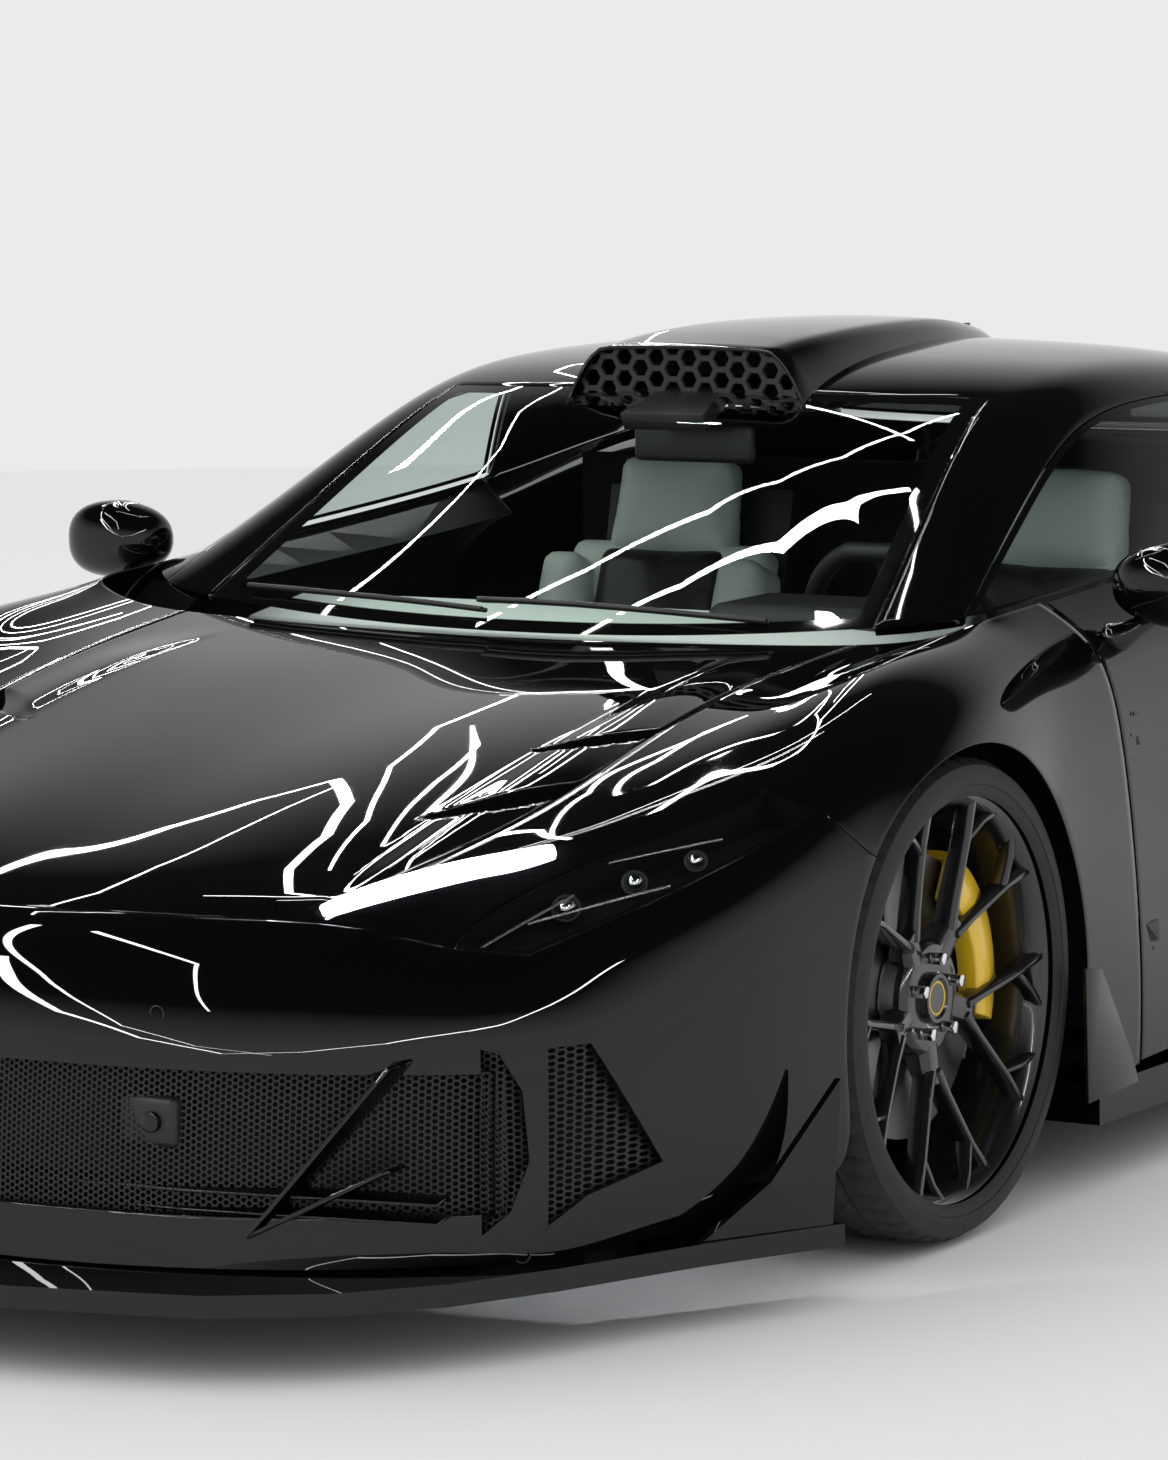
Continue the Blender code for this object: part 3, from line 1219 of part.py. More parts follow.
# Cabin: dashboard, steering wheel and seats
dash_section_shares = ((-0.652, 0.0), (-0.45, 0.02), (0.0, 0.05), (0.45, 0.02), (0.652, 0.0))
dash_profile_shares = ((0.0, 0.630), (0.060, 0.650), (0.125, 0.640), (0.140, 0.590), (0.105, 0.520), (0.080, 0.440), (0.0, 0.430))
steering_share = (0.372, 0.375, 0.620)
steering_ring_radius = 0.176
steering_grip = 0.015
steering_sides = 16
steering_lean = math.radians(24.0)
steering_boss_radius = 0.052
steering_boss_depth = 0.040
steering_turn_ratio = 11.0
column_radius = 0.022
column_length = 0.170
seat_centre_share = (0.450, 0.372)
seat_half_width_share = 0.25
seat_profile_shares = (
    (-0.1115, 0.0), (0.0385, 0.0), (0.100, 0.0172), (0.1423, 0.2575), (0.1692, 0.5494), (0.1731, 0.6524),
    (0.150, 0.6695), (0.1308, 0.5322), (0.0923, 0.309), (0.0462, 0.1502), (-0.0192, 0.1288), (-0.1077, 0.1631),
)
seat_section_shares = ((-1.0, 0.55), (-0.84, 1.0), (-0.52, 0.25), (0.0, 0.0), (0.52, 0.25), (0.84, 1.0), (1.0, 0.55))
seat_bolster = 0.065
seat_bolster_rise_share = 0.4
inner_profile_start = 6


def dashboard():
    low = firewall_front_y() + firewall_thickness + seat_gap
    sections = []
    for across_share, bow_share in dash_section_shares:
        section = []
        for along_share, height_share in dash_profile_shares:
            y = low + along_share * (1 - bow_share) * wheelbase
            section.append(Vector((across_share * half_width, y, height_share * roof_height)))
        sections.append(section)
    made = loft("dashboard", sections, dark_leather)
    along = steering_lean_matrix() @ Vector((1.0, 0.0, 0.0))
    end = car_point(*steering_share) - along * (column_length + seat_gap)
    return smooth_round(join_solids(made, drum("shroud", end - along * column_length, end, column_radius * 1.5, 12, dark_leather)))


def steering_lean_matrix():
    return Matrix.Rotation(math.radians(90), 4, "Z") @ Matrix.Rotation(-steering_lean, 4, "Y")


def steering_wheel():
    """The wheel's own axis is X here, and is then leaned back and put on the column."""
    profile = [(steering_grip * math.cos(math.tau * k / 6), steering_ring_radius + steering_grip * math.sin(math.tau * k / 6)) for k in range(6)]
    made = ring("steering_wheel", profile, Vector(), steering_sides, dark_leather)
    pieces = [drum("boss", Vector((-steering_boss_depth, 0, 0)), Vector((steering_grip / 3, 0, 0)), steering_boss_radius, 16, dark_leather)]
    for degrees in (90.0, 180.0, 270.0):
        pieces.append(bar("spoke", polar(steering_grip / 4, 0.0, degrees), polar(steering_grip / 4, steering_ring_radius, degrees),
                          steering_grip * 3, steering_grip * 1.6, steering_grip, steering_grip, dark_leather))
    pieces.append(drum("column", Vector((-column_length, 0, 0)), Vector((-steering_boss_depth / 2, 0, 0)), column_radius, 12, dark_leather))
    made = join_solids(made, *pieces)
    made.data.transform(steering_lean_matrix())
    made.location = car_point(*steering_share)
    return smooth_round(made)


def seat(name, turn):
    origin = Vector((turn * seat_centre_share[1] * half_width, front_axle_y + seat_centre_share[0] * wheelbase,
                     tub_floor_shares[1][2] * roof_height + seat_gap))
    sections = []
    for across_share, bolster_share in seat_section_shares:
        section = []
        for k, (along_share, height_share) in enumerate(seat_profile_shares):
            x = across_share * seat_half_width_share * half_width
            point = Vector((x, along_share * wheelbase, height_share * roof_height))
            if k > inner_profile_start:
                point.y -= bolster_share * seat_bolster
                point.z += bolster_share * seat_bolster * seat_bolster_rise_share
            section.append(origin + point)
        sections.append(section)
    return smooth_round(loft(name, sections, pale_leather), math.radians(60))


# Engine with its gearbox, one plain mass on the rails
engine_shares = ((0.652, 0.365, 0.500), (0.300, 0.500))
engine_head_share = 0.9
engine_flank_share = 1.6
engine_gap = 0.012
gearbox_shares = ((0.900, 0.160), (1.150, 0.160, 0.420))
gearbox_gap = 0.006


def engine():
    """A six-sided block on the rails, and the gearbox that reaches back over the rear cross members."""
    rail_top = rail_top_height() + seat_gap
    flank_top = rail_top * engine_flank_share
    front = car_point(*engine_shares[0])
    head_x = engine_shares[1][0] * engine_head_share * half_width
    rear_y = rear_axle_y - arm_root_spread - arm_width - engine_gap
    sections = []
    for y in (front.y, rear_y):
        sections.append([Vector((x, y, z)) for x, z in (
            (front.x, rail_top), (front.x, flank_top), (head_x, front.z), (-head_x, front.z),
            (-front.x, flank_top), (-front.x, rail_top))])
    made = loft("engine_block", sections, bare_metal)
    low = car_point(*gearbox_shares[0], 0.0)
    high = car_point(*gearbox_shares[1])
    low.z = wheel_height(rear_tyre_radius) - upright_reach + arm_height + gearbox_gap
    return join_solids(made, block("gearbox", (-low.x, low.y, low.z), high, bare_metal))


# Diffuser with its fins and the exhaust pipes
diffuser_shares = ((1.2402, 0.0, 0.110), (1.290, 0.0, 0.150), (1.3385, 0.0, 0.188))
diffuser_half_share = 0.70
diffuser_thickness = 0.012
diffuser_fin_shares = (-0.45, -0.15, 0.15, 0.45)
diffuser_fin_depth = 0.060
pipe_shares = ((1.290, 0.320, 0.172), (1.335, 0.320, 0.172))


def diffuser():
    sections = []
    for across in (-diffuser_half_share * half_width, diffuser_half_share * half_width):
        line = [car_point(*shares) for shares in diffuser_shares]
        upper = [Vector((across, p.y, p.z + diffuser_thickness)) for p in line]
        lower = [Vector((across, p.y, p.z)) for p in reversed(line)]
        sections.append(upper + lower)
    made = loft("rear_diffuser", sections, satin_black)
    fins = []
    for share in diffuser_fin_shares:
        x = share * half_width
        line = [car_point(*shares) for shares in diffuser_shares]
        outline = [Vector((0, line[0].y, line[0].z)), Vector((0, line[2].y, line[2].z)), Vector((0, line[2].y, line[2].z - diffuser_fin_depth)),
                   Vector((0, line[1].y, line[0].z - diffuser_thickness))]
        outline = [p + Vector((0, 0, diffuser_thickness / 2)) for p in outline]
        fins.append(loft("fin", [[p + Vector((x + w, 0, 0)) for p in outline] for w in (-diffuser_thickness / 2, diffuser_thickness / 2)], satin_black))
    return join_solids(made, *fins)


bonnet_axis = lid_axis("bonnet", bonnet_pin_x, True)
engine_lid_axis = lid_axis("engine_lid", engine_lid_pin_x, False)

panel_solid("front_bumper", body, "front_bumper", gloss_black, fixed_seam, skin_thickness)
hinged_lid("bonnet", "bonnet", bonnet_pin_x, True)
hinged_lid("engine_lid", "engine_lid", engine_lid_pin_x, False)
panel_solid("rear_bumper", body, "rear_bumper", gloss_black, fixed_seam, skin_thickness)
for side, turn in sides:
    panel_solid("front_fender_" + side, body, "front_fender_" + side, gloss_black, fixed_seam, skin_thickness)
    panel_solid("headlamp_" + side, body, "headlamp_" + side, lamp_clear, fixed_seam, skin_thickness)
    door_panel("door_" + side, side, turn)
    panel_solid("rear_quarter_" + side, body, "rear_quarter_" + side, gloss_black, fixed_seam, skin_thickness)
    panel_solid("tail_lamp_" + side, body, "tail_lamp_" + side, lamp_red, fixed_seam, skin_thickness)
    glass_panel("door_glass_" + side, side, 0.0)
panel_solid("front_grille", body, "front_grille", satin_black, fixed_seam, skin_thickness)
panel_solid("windscreen", greenhouse, "windscreen", tinted_glass, fixed_seam, glass_thickness)
panel_solid("roof", greenhouse, "roof", gloss_black, fixed_seam, roof_depth)
panel_solid("rear_glass", greenhouse, "rear_glass", tinted_glass, fixed_seam, glass_thickness)
tub()
splitter()
roof_scoop()
wing()
dashboard()
steering_wheel()
engine()
diffuser()
for side, turn in sides:
    skirt("side_skirt_" + side, turn)
    mirror("mirror_" + side, side, turn)
    seat("seat_" + side, turn)

front_height = wheel_height(front_tyre_radius)
rear_height = wheel_height(rear_tyre_radius)
subframe("front_subframe", front_axle_y, front_height)
subframe("rear_subframe", rear_axle_y, rear_height)
front_wheel = wheel("wheel_front_left", front_rim_radius, front_rim_width, forged_black)
rear_wheel = wheel("wheel_rear_left", rear_rim_radius, rear_rim_width, forged_black)
front_tyre = tyre("tyre_front_left", front_rim_radius, front_rim_width, front_tyre_radius, tyre_rubber)
rear_tyre = tyre("tyre_rear_left", rear_rim_radius, rear_rim_width, rear_tyre_radius, tyre_rubber)
corners = (
    ("front", front_wheel, front_tyre, front_wheel_face_x, front_axle_y, front_height, 1.0),
    ("rear", rear_wheel, rear_tyre, rear_wheel_face_x, rear_axle_y, rear_height, -1.0),
)
for end, rim, rubber, face_x, axle_y, height, facing in corners:
    for made in (rim, rubber):
        right = mirrored(made, made.name.replace("left", "right"))
        made.location = (face_x, axle_y, height)
        right.location = (-face_x, axle_y, height)
    upright = knuckle("knuckle_" + end + "_left", 1.0, face_x, Vector((0.0, axle_y, height)), facing)
    mirrored(upright, "knuckle_" + end + "_right")
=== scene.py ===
# %% [markdown]
# A gloss black two-seat supercar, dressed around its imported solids.
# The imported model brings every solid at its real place, in metres, with +Z up, the nose towards -Y and
# the car's left side towards +X. Each cell below makes or finishes one piece of the car, and says which
# body of the model it rides on, so that doors, lids and wheels still move together with their solids.

import json
import math

import bmesh
import bpy
import numpy as np
from mathutils import Matrix, Vector
from mathutils.bvhtree import BVHTree

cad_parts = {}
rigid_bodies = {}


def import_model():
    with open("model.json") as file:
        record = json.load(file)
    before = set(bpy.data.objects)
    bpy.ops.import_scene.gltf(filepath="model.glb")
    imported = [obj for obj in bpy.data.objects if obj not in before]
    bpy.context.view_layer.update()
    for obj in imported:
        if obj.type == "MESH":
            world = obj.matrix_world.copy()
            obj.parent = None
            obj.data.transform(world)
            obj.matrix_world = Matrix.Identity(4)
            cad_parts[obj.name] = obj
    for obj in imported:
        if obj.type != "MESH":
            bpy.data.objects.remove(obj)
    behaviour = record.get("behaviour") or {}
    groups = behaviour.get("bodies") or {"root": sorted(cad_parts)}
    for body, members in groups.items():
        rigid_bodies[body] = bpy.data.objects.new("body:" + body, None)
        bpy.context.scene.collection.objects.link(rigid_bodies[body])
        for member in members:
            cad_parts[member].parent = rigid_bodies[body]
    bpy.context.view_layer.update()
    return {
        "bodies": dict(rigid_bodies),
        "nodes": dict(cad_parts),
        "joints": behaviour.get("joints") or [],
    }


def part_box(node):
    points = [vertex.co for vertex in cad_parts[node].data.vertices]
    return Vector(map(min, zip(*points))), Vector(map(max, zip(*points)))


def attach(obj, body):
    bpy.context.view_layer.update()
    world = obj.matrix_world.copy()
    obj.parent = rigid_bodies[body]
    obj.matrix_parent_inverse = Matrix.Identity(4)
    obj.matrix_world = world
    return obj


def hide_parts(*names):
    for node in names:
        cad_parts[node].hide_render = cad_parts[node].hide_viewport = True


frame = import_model()

# %% [markdown]
# The axles are read back from the solids, as the middles of the tyres' boxes, so that every later piece
# fits them. The helpers are the few steps that nearly every piece goes through.

# %% Main sizes and small helpers
def middle_of(low, high):
    return (low + high) / 2


sides = ("left", "right")
front_axle_y = middle_of(*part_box("tyre_front_left")).y
rear_axle_y = middle_of(*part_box("tyre_rear_left")).y
wheelbase = rear_axle_y - front_axle_y
right_angle = math.radians(90.0)
mirror_x = Matrix.Scale(-1.0, 4, (1.0, 0.0, 0.0))


def work_on(piece):
    """Makes one piece the only selected and active object, as operators act on all that is selected."""
    if bpy.context.mode != "OBJECT":
        bpy.ops.object.mode_set(mode="OBJECT")
    bpy.ops.object.select_all(action="DESELECT")
    piece.select_set(True)
    bpy.context.view_layer.objects.active = piece
    return piece


def renamed(piece, name):
    piece.name = piece.data.name = name
    return piece


def settled(name):
    """Names the object that an operator has just added, and puts its place into its mesh."""
    piece = renamed(bpy.context.object, name)
    work_on(piece)
    bpy.ops.object.transform_apply(location=True, rotation=True, scale=True)
    return piece


def apply_modifier(piece, kind, **settings):
    """Adds one modifier, sets it and applies it."""
    work_on(piece)
    step = piece.modifiers.new(kind.lower(), kind)
    for name, value in settings.items():
        setattr(step, name, value)
    bpy.ops.object.modifier_apply(modifier=step.name)
    return piece


def bevelled(piece, width, segments=2, degrees=30.0):
    """Rounds the edges that are sharper than an angle."""
    limit = math.radians(degrees)
    return apply_modifier(
        piece, "BEVEL", width=width, segments=segments, limit_method="ANGLE", angle_limit=limit
    )


def clean_normals(piece, merge=0.0):
    """Merges doubles if asked, and turns all faces outwards."""
    work_on(piece)
    bpy.ops.object.mode_set(mode="EDIT")
    bpy.ops.mesh.select_all(action="SELECT")
    if merge:
        bpy.ops.mesh.remove_doubles(threshold=merge)
    bpy.ops.mesh.normals_make_consistent(inside=False)
    bpy.ops.object.mode_set(mode="OBJECT")
    return piece


def shade(piece, degrees=35.0):
    """Smooth shading up to sharp edges."""
    work_on(piece)
    bpy.ops.object.shade_smooth_by_angle(angle=math.radians(degrees))
    return piece


def joined(name, pieces):
    """Joins pieces into one mesh."""
    work_on(pieces[0])
    for piece in pieces[1:]:
        piece.select_set(True)
    bpy.ops.object.join()
    return renamed(pieces[0], name)


def linked(name, mesh):
    """An object at the origin for a mesh."""
    piece = renamed(bpy.data.objects.new(name, mesh), name)
    bpy.context.scene.collection.objects.link(piece)
    return piece


def copied(piece, name, matrix=None):
    """A copy with its own mesh, moved by a matrix. A mirrored copy has its faces turned back outwards."""
    copy = linked(name, piece.data.copy())
    if matrix is not None:
        copy.data.transform(matrix)
        if matrix.determinant() < 0.0:
            copy.data.flip_normals()
    return copy


def mesh_piece(name, vertices, faces):
    """An object from points and faces, for freeform sheets that no primitive starts."""
    mesh = bpy.data.meshes.new(name)
    mesh.from_pydata([tuple(v) for v in vertices], [], [tuple(f) for f in faces])
    return linked(name, mesh)


def grid_faces(rows, columns, rows_close=False, columns_close=False, turned=False):
    """The faces between neighbouring rows of points. Rows and columns can close into rings."""
    faces = []
    for k in range(rows if rows_close else rows - 1):
        here, after = k * columns, (k + 1) % rows * columns
        for n in range(columns if columns_close else columns - 1):
            m = (n + 1) % columns
            face = (here + n, here + m, after + m, after + n)
            faces.append(face[:1] + face[:0:-1] if turned else face)
    return faces


def torus(name, place, radius, thickness, degrees, segments=(48, 12)):
    bpy.ops.mesh.primitive_torus_add(
        major_radius=radius, minor_radius=thickness, major_segments=segments[0], minor_segments=segments[1],
        location=place, rotation=[math.radians(angle) for angle in degrees],
    )
    return shade(settled(name), 60.0)


def cylinder(name, place, radius, depth, vertices, rotation, rounding):
    bpy.ops.mesh.primitive_cylinder_add(
        vertices=vertices, radius=radius, depth=depth, location=place, rotation=rotation
    )
    return bevelled(settled(name), rounding)


def rounded_box(name, centre, size, rounding, segments=3):
    bpy.ops.mesh.primitive_cube_add(size=1.0, location=centre)
    bpy.context.object.scale = size
    return shade(bevelled(settled(name), rounding, segments), 50.0)

# %% [markdown]
# Materials are written as sums. A Value wraps one socket of a material, and Python's own operators add
# the Math nodes behind it, so that "speckle * 0.2 + 0.1" reads like the formula that it is. A Finish
# holds the material, its Principled shader and the name of its slot.

# %% Shader values and finishes
class Value:
    """One output in a node tree. The operators of Python add Math nodes."""

    def __init__(self, nodes, socket):
        self.nodes = nodes
        self.socket = socket

    def maths(self, operation, *values):
        return self.nodes.node("ShaderNodeMath", dict(enumerate(values)), operation=operation)

    def __add__(self, other):
        return self.maths("ADD", self, other)

    def __sub__(self, other):
        return self.maths("SUBTRACT", self, other)

    def __rsub__(self, other):
        return self.maths("SUBTRACT", other, self)

    def __mul__(self, other):
        return self.maths("MULTIPLY", self, other)

    def __truediv__(self, other):
        return self.maths("DIVIDE", self, other)

    def __gt__(self, other):
        return self.maths("GREATER_THAN", self, other)

    def __abs__(self):
        return self.maths("ABSOLUTE", self)

    def least(self, other):
        return self.maths("MINIMUM", self, other)

    def most(self, other):
        return self.maths("MAXIMUM", self, other)

    def part(self):
        return self.maths("FRACT", self)

    def ramp(self, low, high):
        """0 below low, 1 above high, and a smooth step between them."""
        sockets = {"Value": self, "From Min": low, "From Max": high}
        return self.nodes.node("ShaderNodeMapRange", sockets, interpolation_type="SMOOTHSTEP")


class Nodes:
    """A node tree with one method that adds any node."""

    def __init__(self, tree):
        self.tree = tree

    def put(self, socket, value):
        """A plain value is set on the socket, and another node's output is linked to it."""
        if isinstance(value, Value):
            self.tree.links.new(value.socket, socket)
        else:
            socket.default_value = value

    def node(self, kind, sockets=None, output=0, **settings):
        """Adds a node: first its settings, then the values or links of its sockets."""
        made = self.tree.nodes.new(kind)
        for name, value in settings.items():
            setattr(made, name, value)
        for name, value in (sockets or {}).items():
            self.put(made.inputs[name], value)
        return Value(self, made.outputs[output])

    def blend(self, factor, first, second):
        return self.node("ShaderNodeMixShader", {0: factor, 1: first, 2: second})


class Finish(Nodes):
    """A material with its Principled shader and the name of its slot."""

    def __init__(self, name, slot, colour, roughness, **sockets):
        self.slot = slot
        self.material = bpy.data.materials.new(name)
        self.material.use_nodes = True
        super().__init__(self.material.node_tree)
        self.shader = self.tree.nodes["Principled BSDF"]
        self.set(**{"Base Color": (*colour, 1.0), "Roughness": roughness}, **sockets)

    def set(self, **sockets):
        for name, value in sockets.items():
            self.put(self.shader.inputs[name.replace("_", " ")], value)

    def place(self):
        """The point on the piece, in metres."""
        return self.node("ShaderNodeTexCoord", output="Object")

    def noise(self, scale, detail=2.0):
        return self.node("ShaderNodeTexNoise", {"Vector": self.place(), "Scale": scale, "Detail": detail})

    def cells(self, scale):
        return self.node("ShaderNodeTexVoronoi", {"Vector": self.place(), "Scale": scale})

    def uneven(self, scale, span, low, detail=2.0):
        """Lets the roughness vary with a noise, upwards from a low value."""
        self.set(Roughness=self.noise(scale, detail) * span + low)

    def bump(self, height, distance, strength):
        sockets = {"Height": height, "Distance": distance, "Strength": strength}
        self.set(Normal=self.node("ShaderNodeBump", sockets))

    def surface(self, value):
        self.put(self.tree.nodes["Material Output"].inputs["Surface"], value)

    def wear(self, piece):
        """Gives the piece this material alone."""
        piece.data.materials.clear()
        piece.data.materials.append(self.material)
        return piece


# %% [markdown]
# The body's skin is one smooth surface over a coarse cage, the same cage that the solids' panels were cut
# from. Each line runs from nose to tail through knots of (along, across, height), as shares of the
# wheelbase, the half width and the roof height. Subdivided further than in the solids, it gives the same
# surface with a fine mesh, so that reflections run smoothly over it.

# %% The skin's cage
half_width = 0.980
roof_height = 1.165
arch_gap = 0.025
wheel_heights = (0.341, 0.356)
arch_radii = (0.343 + arch_gap, 0.358 + arch_gap)
belt_gap = 0.0035


def car_point(along_share, across_share, height_share):
    y = front_axle_y + along_share * wheelbase
    return Vector((across_share * half_width, y, height_share * roof_height))


line_shares = (
    (
        (-0.379, 0.0, 0.472), (-0.27, 0.0, 0.538), (-0.135, 0.0, 0.592), (0.0, 0.0, 0.631),
        (0.12, 0.0, 0.662), (0.75, 0.0, 0.83), (0.9, 0.0, 0.806), (1.05, 0.0, 0.788), (1.2, 0.0, 0.775),
        (1.31, 0.0, 0.76),
    ),
    (
        (-0.371, 0.265, 0.475), (-0.27, 0.27, 0.543), (-0.135, 0.28, 0.601), (0.0, 0.29, 0.641),
        (0.125, 0.31, 0.667), (0.75, 0.28, 0.831), (0.9, 0.28, 0.808), (1.05, 0.28, 0.79),
        (1.2, 0.28, 0.777), (1.308, 0.28, 0.762),
    ),
    (
        (-0.35, 0.475, 0.48), (-0.275, 0.555, 0.51), (-0.195, 0.612, 0.548), (-0.115, 0.612, 0.596),
        (0.0, 0.61, 0.645), (0.135, 0.64, 0.674), (0.75, 0.53, 0.832), (0.9, 0.53, 0.812),
        (1.05, 0.53, 0.795), (1.2, 0.53, 0.783), (1.303, 0.52, 0.766),
    ),
    (
        (-0.335, 0.535, 0.46), (-0.265, 0.592, 0.5), (-0.195, 0.662, 0.545), (-0.115, 0.72, 0.603),
        (0.0, 0.725, 0.664), (0.138, 0.745, 0.69), (0.75, 0.7, 0.826), (0.9, 0.7, 0.824),
        (1.05, 0.69, 0.814), (1.2, 0.67, 0.796), (1.295, 0.65, 0.77),
    ),
    (
        (-0.33, 0.6, 0.438), (-0.255, 0.628, 0.5), (-0.19, 0.722, 0.539), (-0.125, 0.862, 0.572),
        (-0.065, 0.835, 0.64), (0.0, 0.815, 0.688), (0.08, 0.808, 0.706), (0.2, 0.802, 0.716),
        (0.327, 0.812, 0.731), (0.462, 0.816, 0.744), (0.6, 0.812, 0.765), (0.73, 0.825, 0.798),
        (0.885, 0.835, 0.822), (1.04, 0.835, 0.824), (1.19, 0.805, 0.802), (1.286, 0.76, 0.768),
    ),
    (
        (-0.318, 0.69, 0.43), (-0.262, 0.8, 0.462), (-0.195, 0.872, 0.512), (-0.127, 0.905, 0.556),
        (-0.065, 0.93, 0.612), (0.0, 0.945, 0.65), (0.08, 0.938, 0.661), (0.2, 0.898, 0.665),
        (0.327, 0.885, 0.678), (0.462, 0.893, 0.687), (0.6, 0.918, 0.704), (0.73, 0.945, 0.734),
        (0.885, 0.966, 0.752), (1.04, 0.966, 0.752), (1.19, 0.94, 0.732), (1.28, 0.875, 0.698),
    ),
    (
        (-0.312, 0.76, 0.398), (-0.235, 0.868, 0.43), (-0.17, 0.93, 0.48), (0.0, 0.974, 0.608),
        (0.15, 0.955, 0.58), (0.2, 0.938, 0.567), (0.327, 0.918, 0.575), (0.462, 0.925, 0.584),
        (0.6, 0.955, 0.6), (0.73, 0.985, 0.625), (0.885, 0.998, 0.66), (1.04, 0.998, 0.66),
        (1.19, 0.985, 0.626), (1.275, 0.905, 0.6),
    ),
    (
        (-0.308, 0.798, 0.338), (-0.235, 0.89, 0.345), (-0.175, 0.94, 0.36), (-0.14, 0.958, 0.38),
        (0.15, 0.964, 0.41), (0.2, 0.955, 0.403), (0.327, 0.935, 0.403), (0.462, 0.935, 0.403),
        (0.6, 0.96, 0.405), (0.73, 0.988, 0.41), (0.8, 1.0, 0.42), (1.14, 1.0, 0.42),
        (1.21, 0.985, 0.425), (1.275, 0.92, 0.43),
    ),
    (
        (-0.308, 0.8, 0.132), (-0.235, 0.885, 0.162), (-0.185, 0.938, 0.185), (-0.14, 0.96, 0.2),
        (0.15, 0.968, 0.24), (0.2, 0.965, 0.24), (0.327, 0.95, 0.24), (0.462, 0.95, 0.24),
        (0.6, 0.965, 0.24), (0.73, 0.985, 0.24), (0.8, 0.995, 0.24), (1.14, 0.995, 0.25),
        (1.21, 0.98, 0.27), (1.275, 0.905, 0.29),
    ),
    (
        (-0.308, 0.785, 0.105), (-0.235, 0.848, 0.108), (-0.185, 0.905, 0.112), (-0.14, 0.95, 0.115),
        (0.13, 0.968, 0.138), (0.2, 0.962, 0.138), (0.327, 0.958, 0.138), (0.462, 0.958, 0.138),
        (0.6, 0.965, 0.138), (0.73, 0.98, 0.14), (0.8, 0.985, 0.145), (1.14, 0.985, 0.165),
        (1.21, 0.97, 0.18), (1.27, 0.89, 0.195),
    ),
)
shoulder_line = 5
sill_line = 9

# Stations: (position on the centreline, position at the shoulder), as shares of the wheelbase
station_shares = (
    (-0.379, -0.310), (-0.285, -0.250), (-0.200, -0.190), (-0.131, -0.127), (-0.065, -0.065), (0.0, 0.0),
    (0.062, 0.066), (0.119, 0.140), (0.165, 0.200), (0.327, 0.327), (0.462, 0.462), (0.600, 0.600),
    (0.730, 0.730), (0.832, 0.832), (0.915, 0.915), (1.0, 1.0), (1.085, 1.085), (1.165, 1.165),
    (1.235, 1.225), (1.310, 1.280),
)
cowl_station = 7
door_front_station = 8
door_rear_station = 11
lid_front_station = 14
lid_rear_station = 17
front_arch_stations = (3, 4, 5, 6, 7)
rear_arch_stations = (13, 14, 15, 16, 17)
last_station = len(station_shares) - 1
arch_degrees = (-30, -8, 16, 42, 66, 90, 114, 138, 164, 188, 210)


def smooth_value(knots, at):
    """The values at a position on a smooth curve through knots of (position, values...)."""
    places = [knot[0] for knot in knots]
    at = min(max(at, places[0]), places[-1])
    k = max(0, min(len(places) - 2, int(np.searchsorted(places, at, side="right")) - 1))
    values = np.array([knot[1:] for knot in knots], float)
    slopes = []
    for n in (k, k + 1):
        before = max(n - 1, 0)
        after = min(n + 1, len(places) - 1)
        slopes.append((values[after] - values[before]) / (places[after] - places[before]))
    span = places[k + 1] - places[k]
    t = (at - places[k]) / span
    start_weight = 2 * t**3 - 3 * t**2 + 1
    end_weight = 1 - start_weight
    start_pull = (t**3 - 2 * t**2 + t) * span
    end_pull = (t**3 - t**2) * span
    value = start_weight * values[k] + end_weight * values[k + 1]
    return value + start_pull * slopes[0] + end_pull * slopes[1]


def line_point(line, along_share):
    across, height = smooth_value(line_shares[line], along_share)
    return car_point(along_share, across, height)


def arch_points(stations, axle_y, arch_radius, wheel_height):
    """Cage points of a wheel arch, on a circle about the axle, from the front sill over to the rear."""
    corners = [(stations[0], line) for line in (9, 8, 7, 6)]
    corners += [(station, 6) for station in stations[1:-1]]
    corners += [(stations[-1], line) for line in (6, 7, 8, 9)]
    placed = {}
    for corner, degrees in zip(corners, arch_degrees):
        angle = math.radians(degrees)
        y = axle_y - arch_radius * math.cos(angle)
        z = wheel_height + arch_radius * math.sin(angle)
        across = line_point(corner[1], (y - front_axle_y) / wheelbase).x
        placed[corner] = Vector((across, y, z))
    return placed


def skin_cage():
    """Cage points keyed by patch and place, for the left half."""
    points = {}
    edge_across = [smooth_value(line_shares[line], station_shares[5][0])[0] for line in range(6)]
    for i, (centre_share, edge_share) in enumerate(station_shares):
        for line in range(10):
            sweep = min(1.0, (edge_across[line] / edge_across[5]) ** 2) if line < 5 else 1.0
            points["body", i, line] = line_point(line, centre_share + (edge_share - centre_share) * sweep)
    front = arch_points(front_arch_stations, front_axle_y, arch_radii[0], wheel_heights[0])
    rear = arch_points(rear_arch_stations, rear_axle_y, arch_radii[1], wheel_heights[1])
    for (i, line), point in {**front, **rear}.items():
        points["body", i, line] = point
    return points


# Nose and tail faces: (distance behind the front axle at the centre, height at the centre) for each level
nose_level_shares = ((-0.404, 0.405), (-0.416, 0.345), (-0.424, 0.130), (-0.427, 0.1007))
tail_level_shares = ((1.322, 0.640), (1.330, 0.440), (1.325, 0.300), (1.305, 0.215))
nose_across_shares = (0.0, 0.27, 0.50, 0.63, 0.72)
tail_across_shares = (0.0, 0.28, 0.54, 0.68, 0.80)
nose_roundness = 2.6


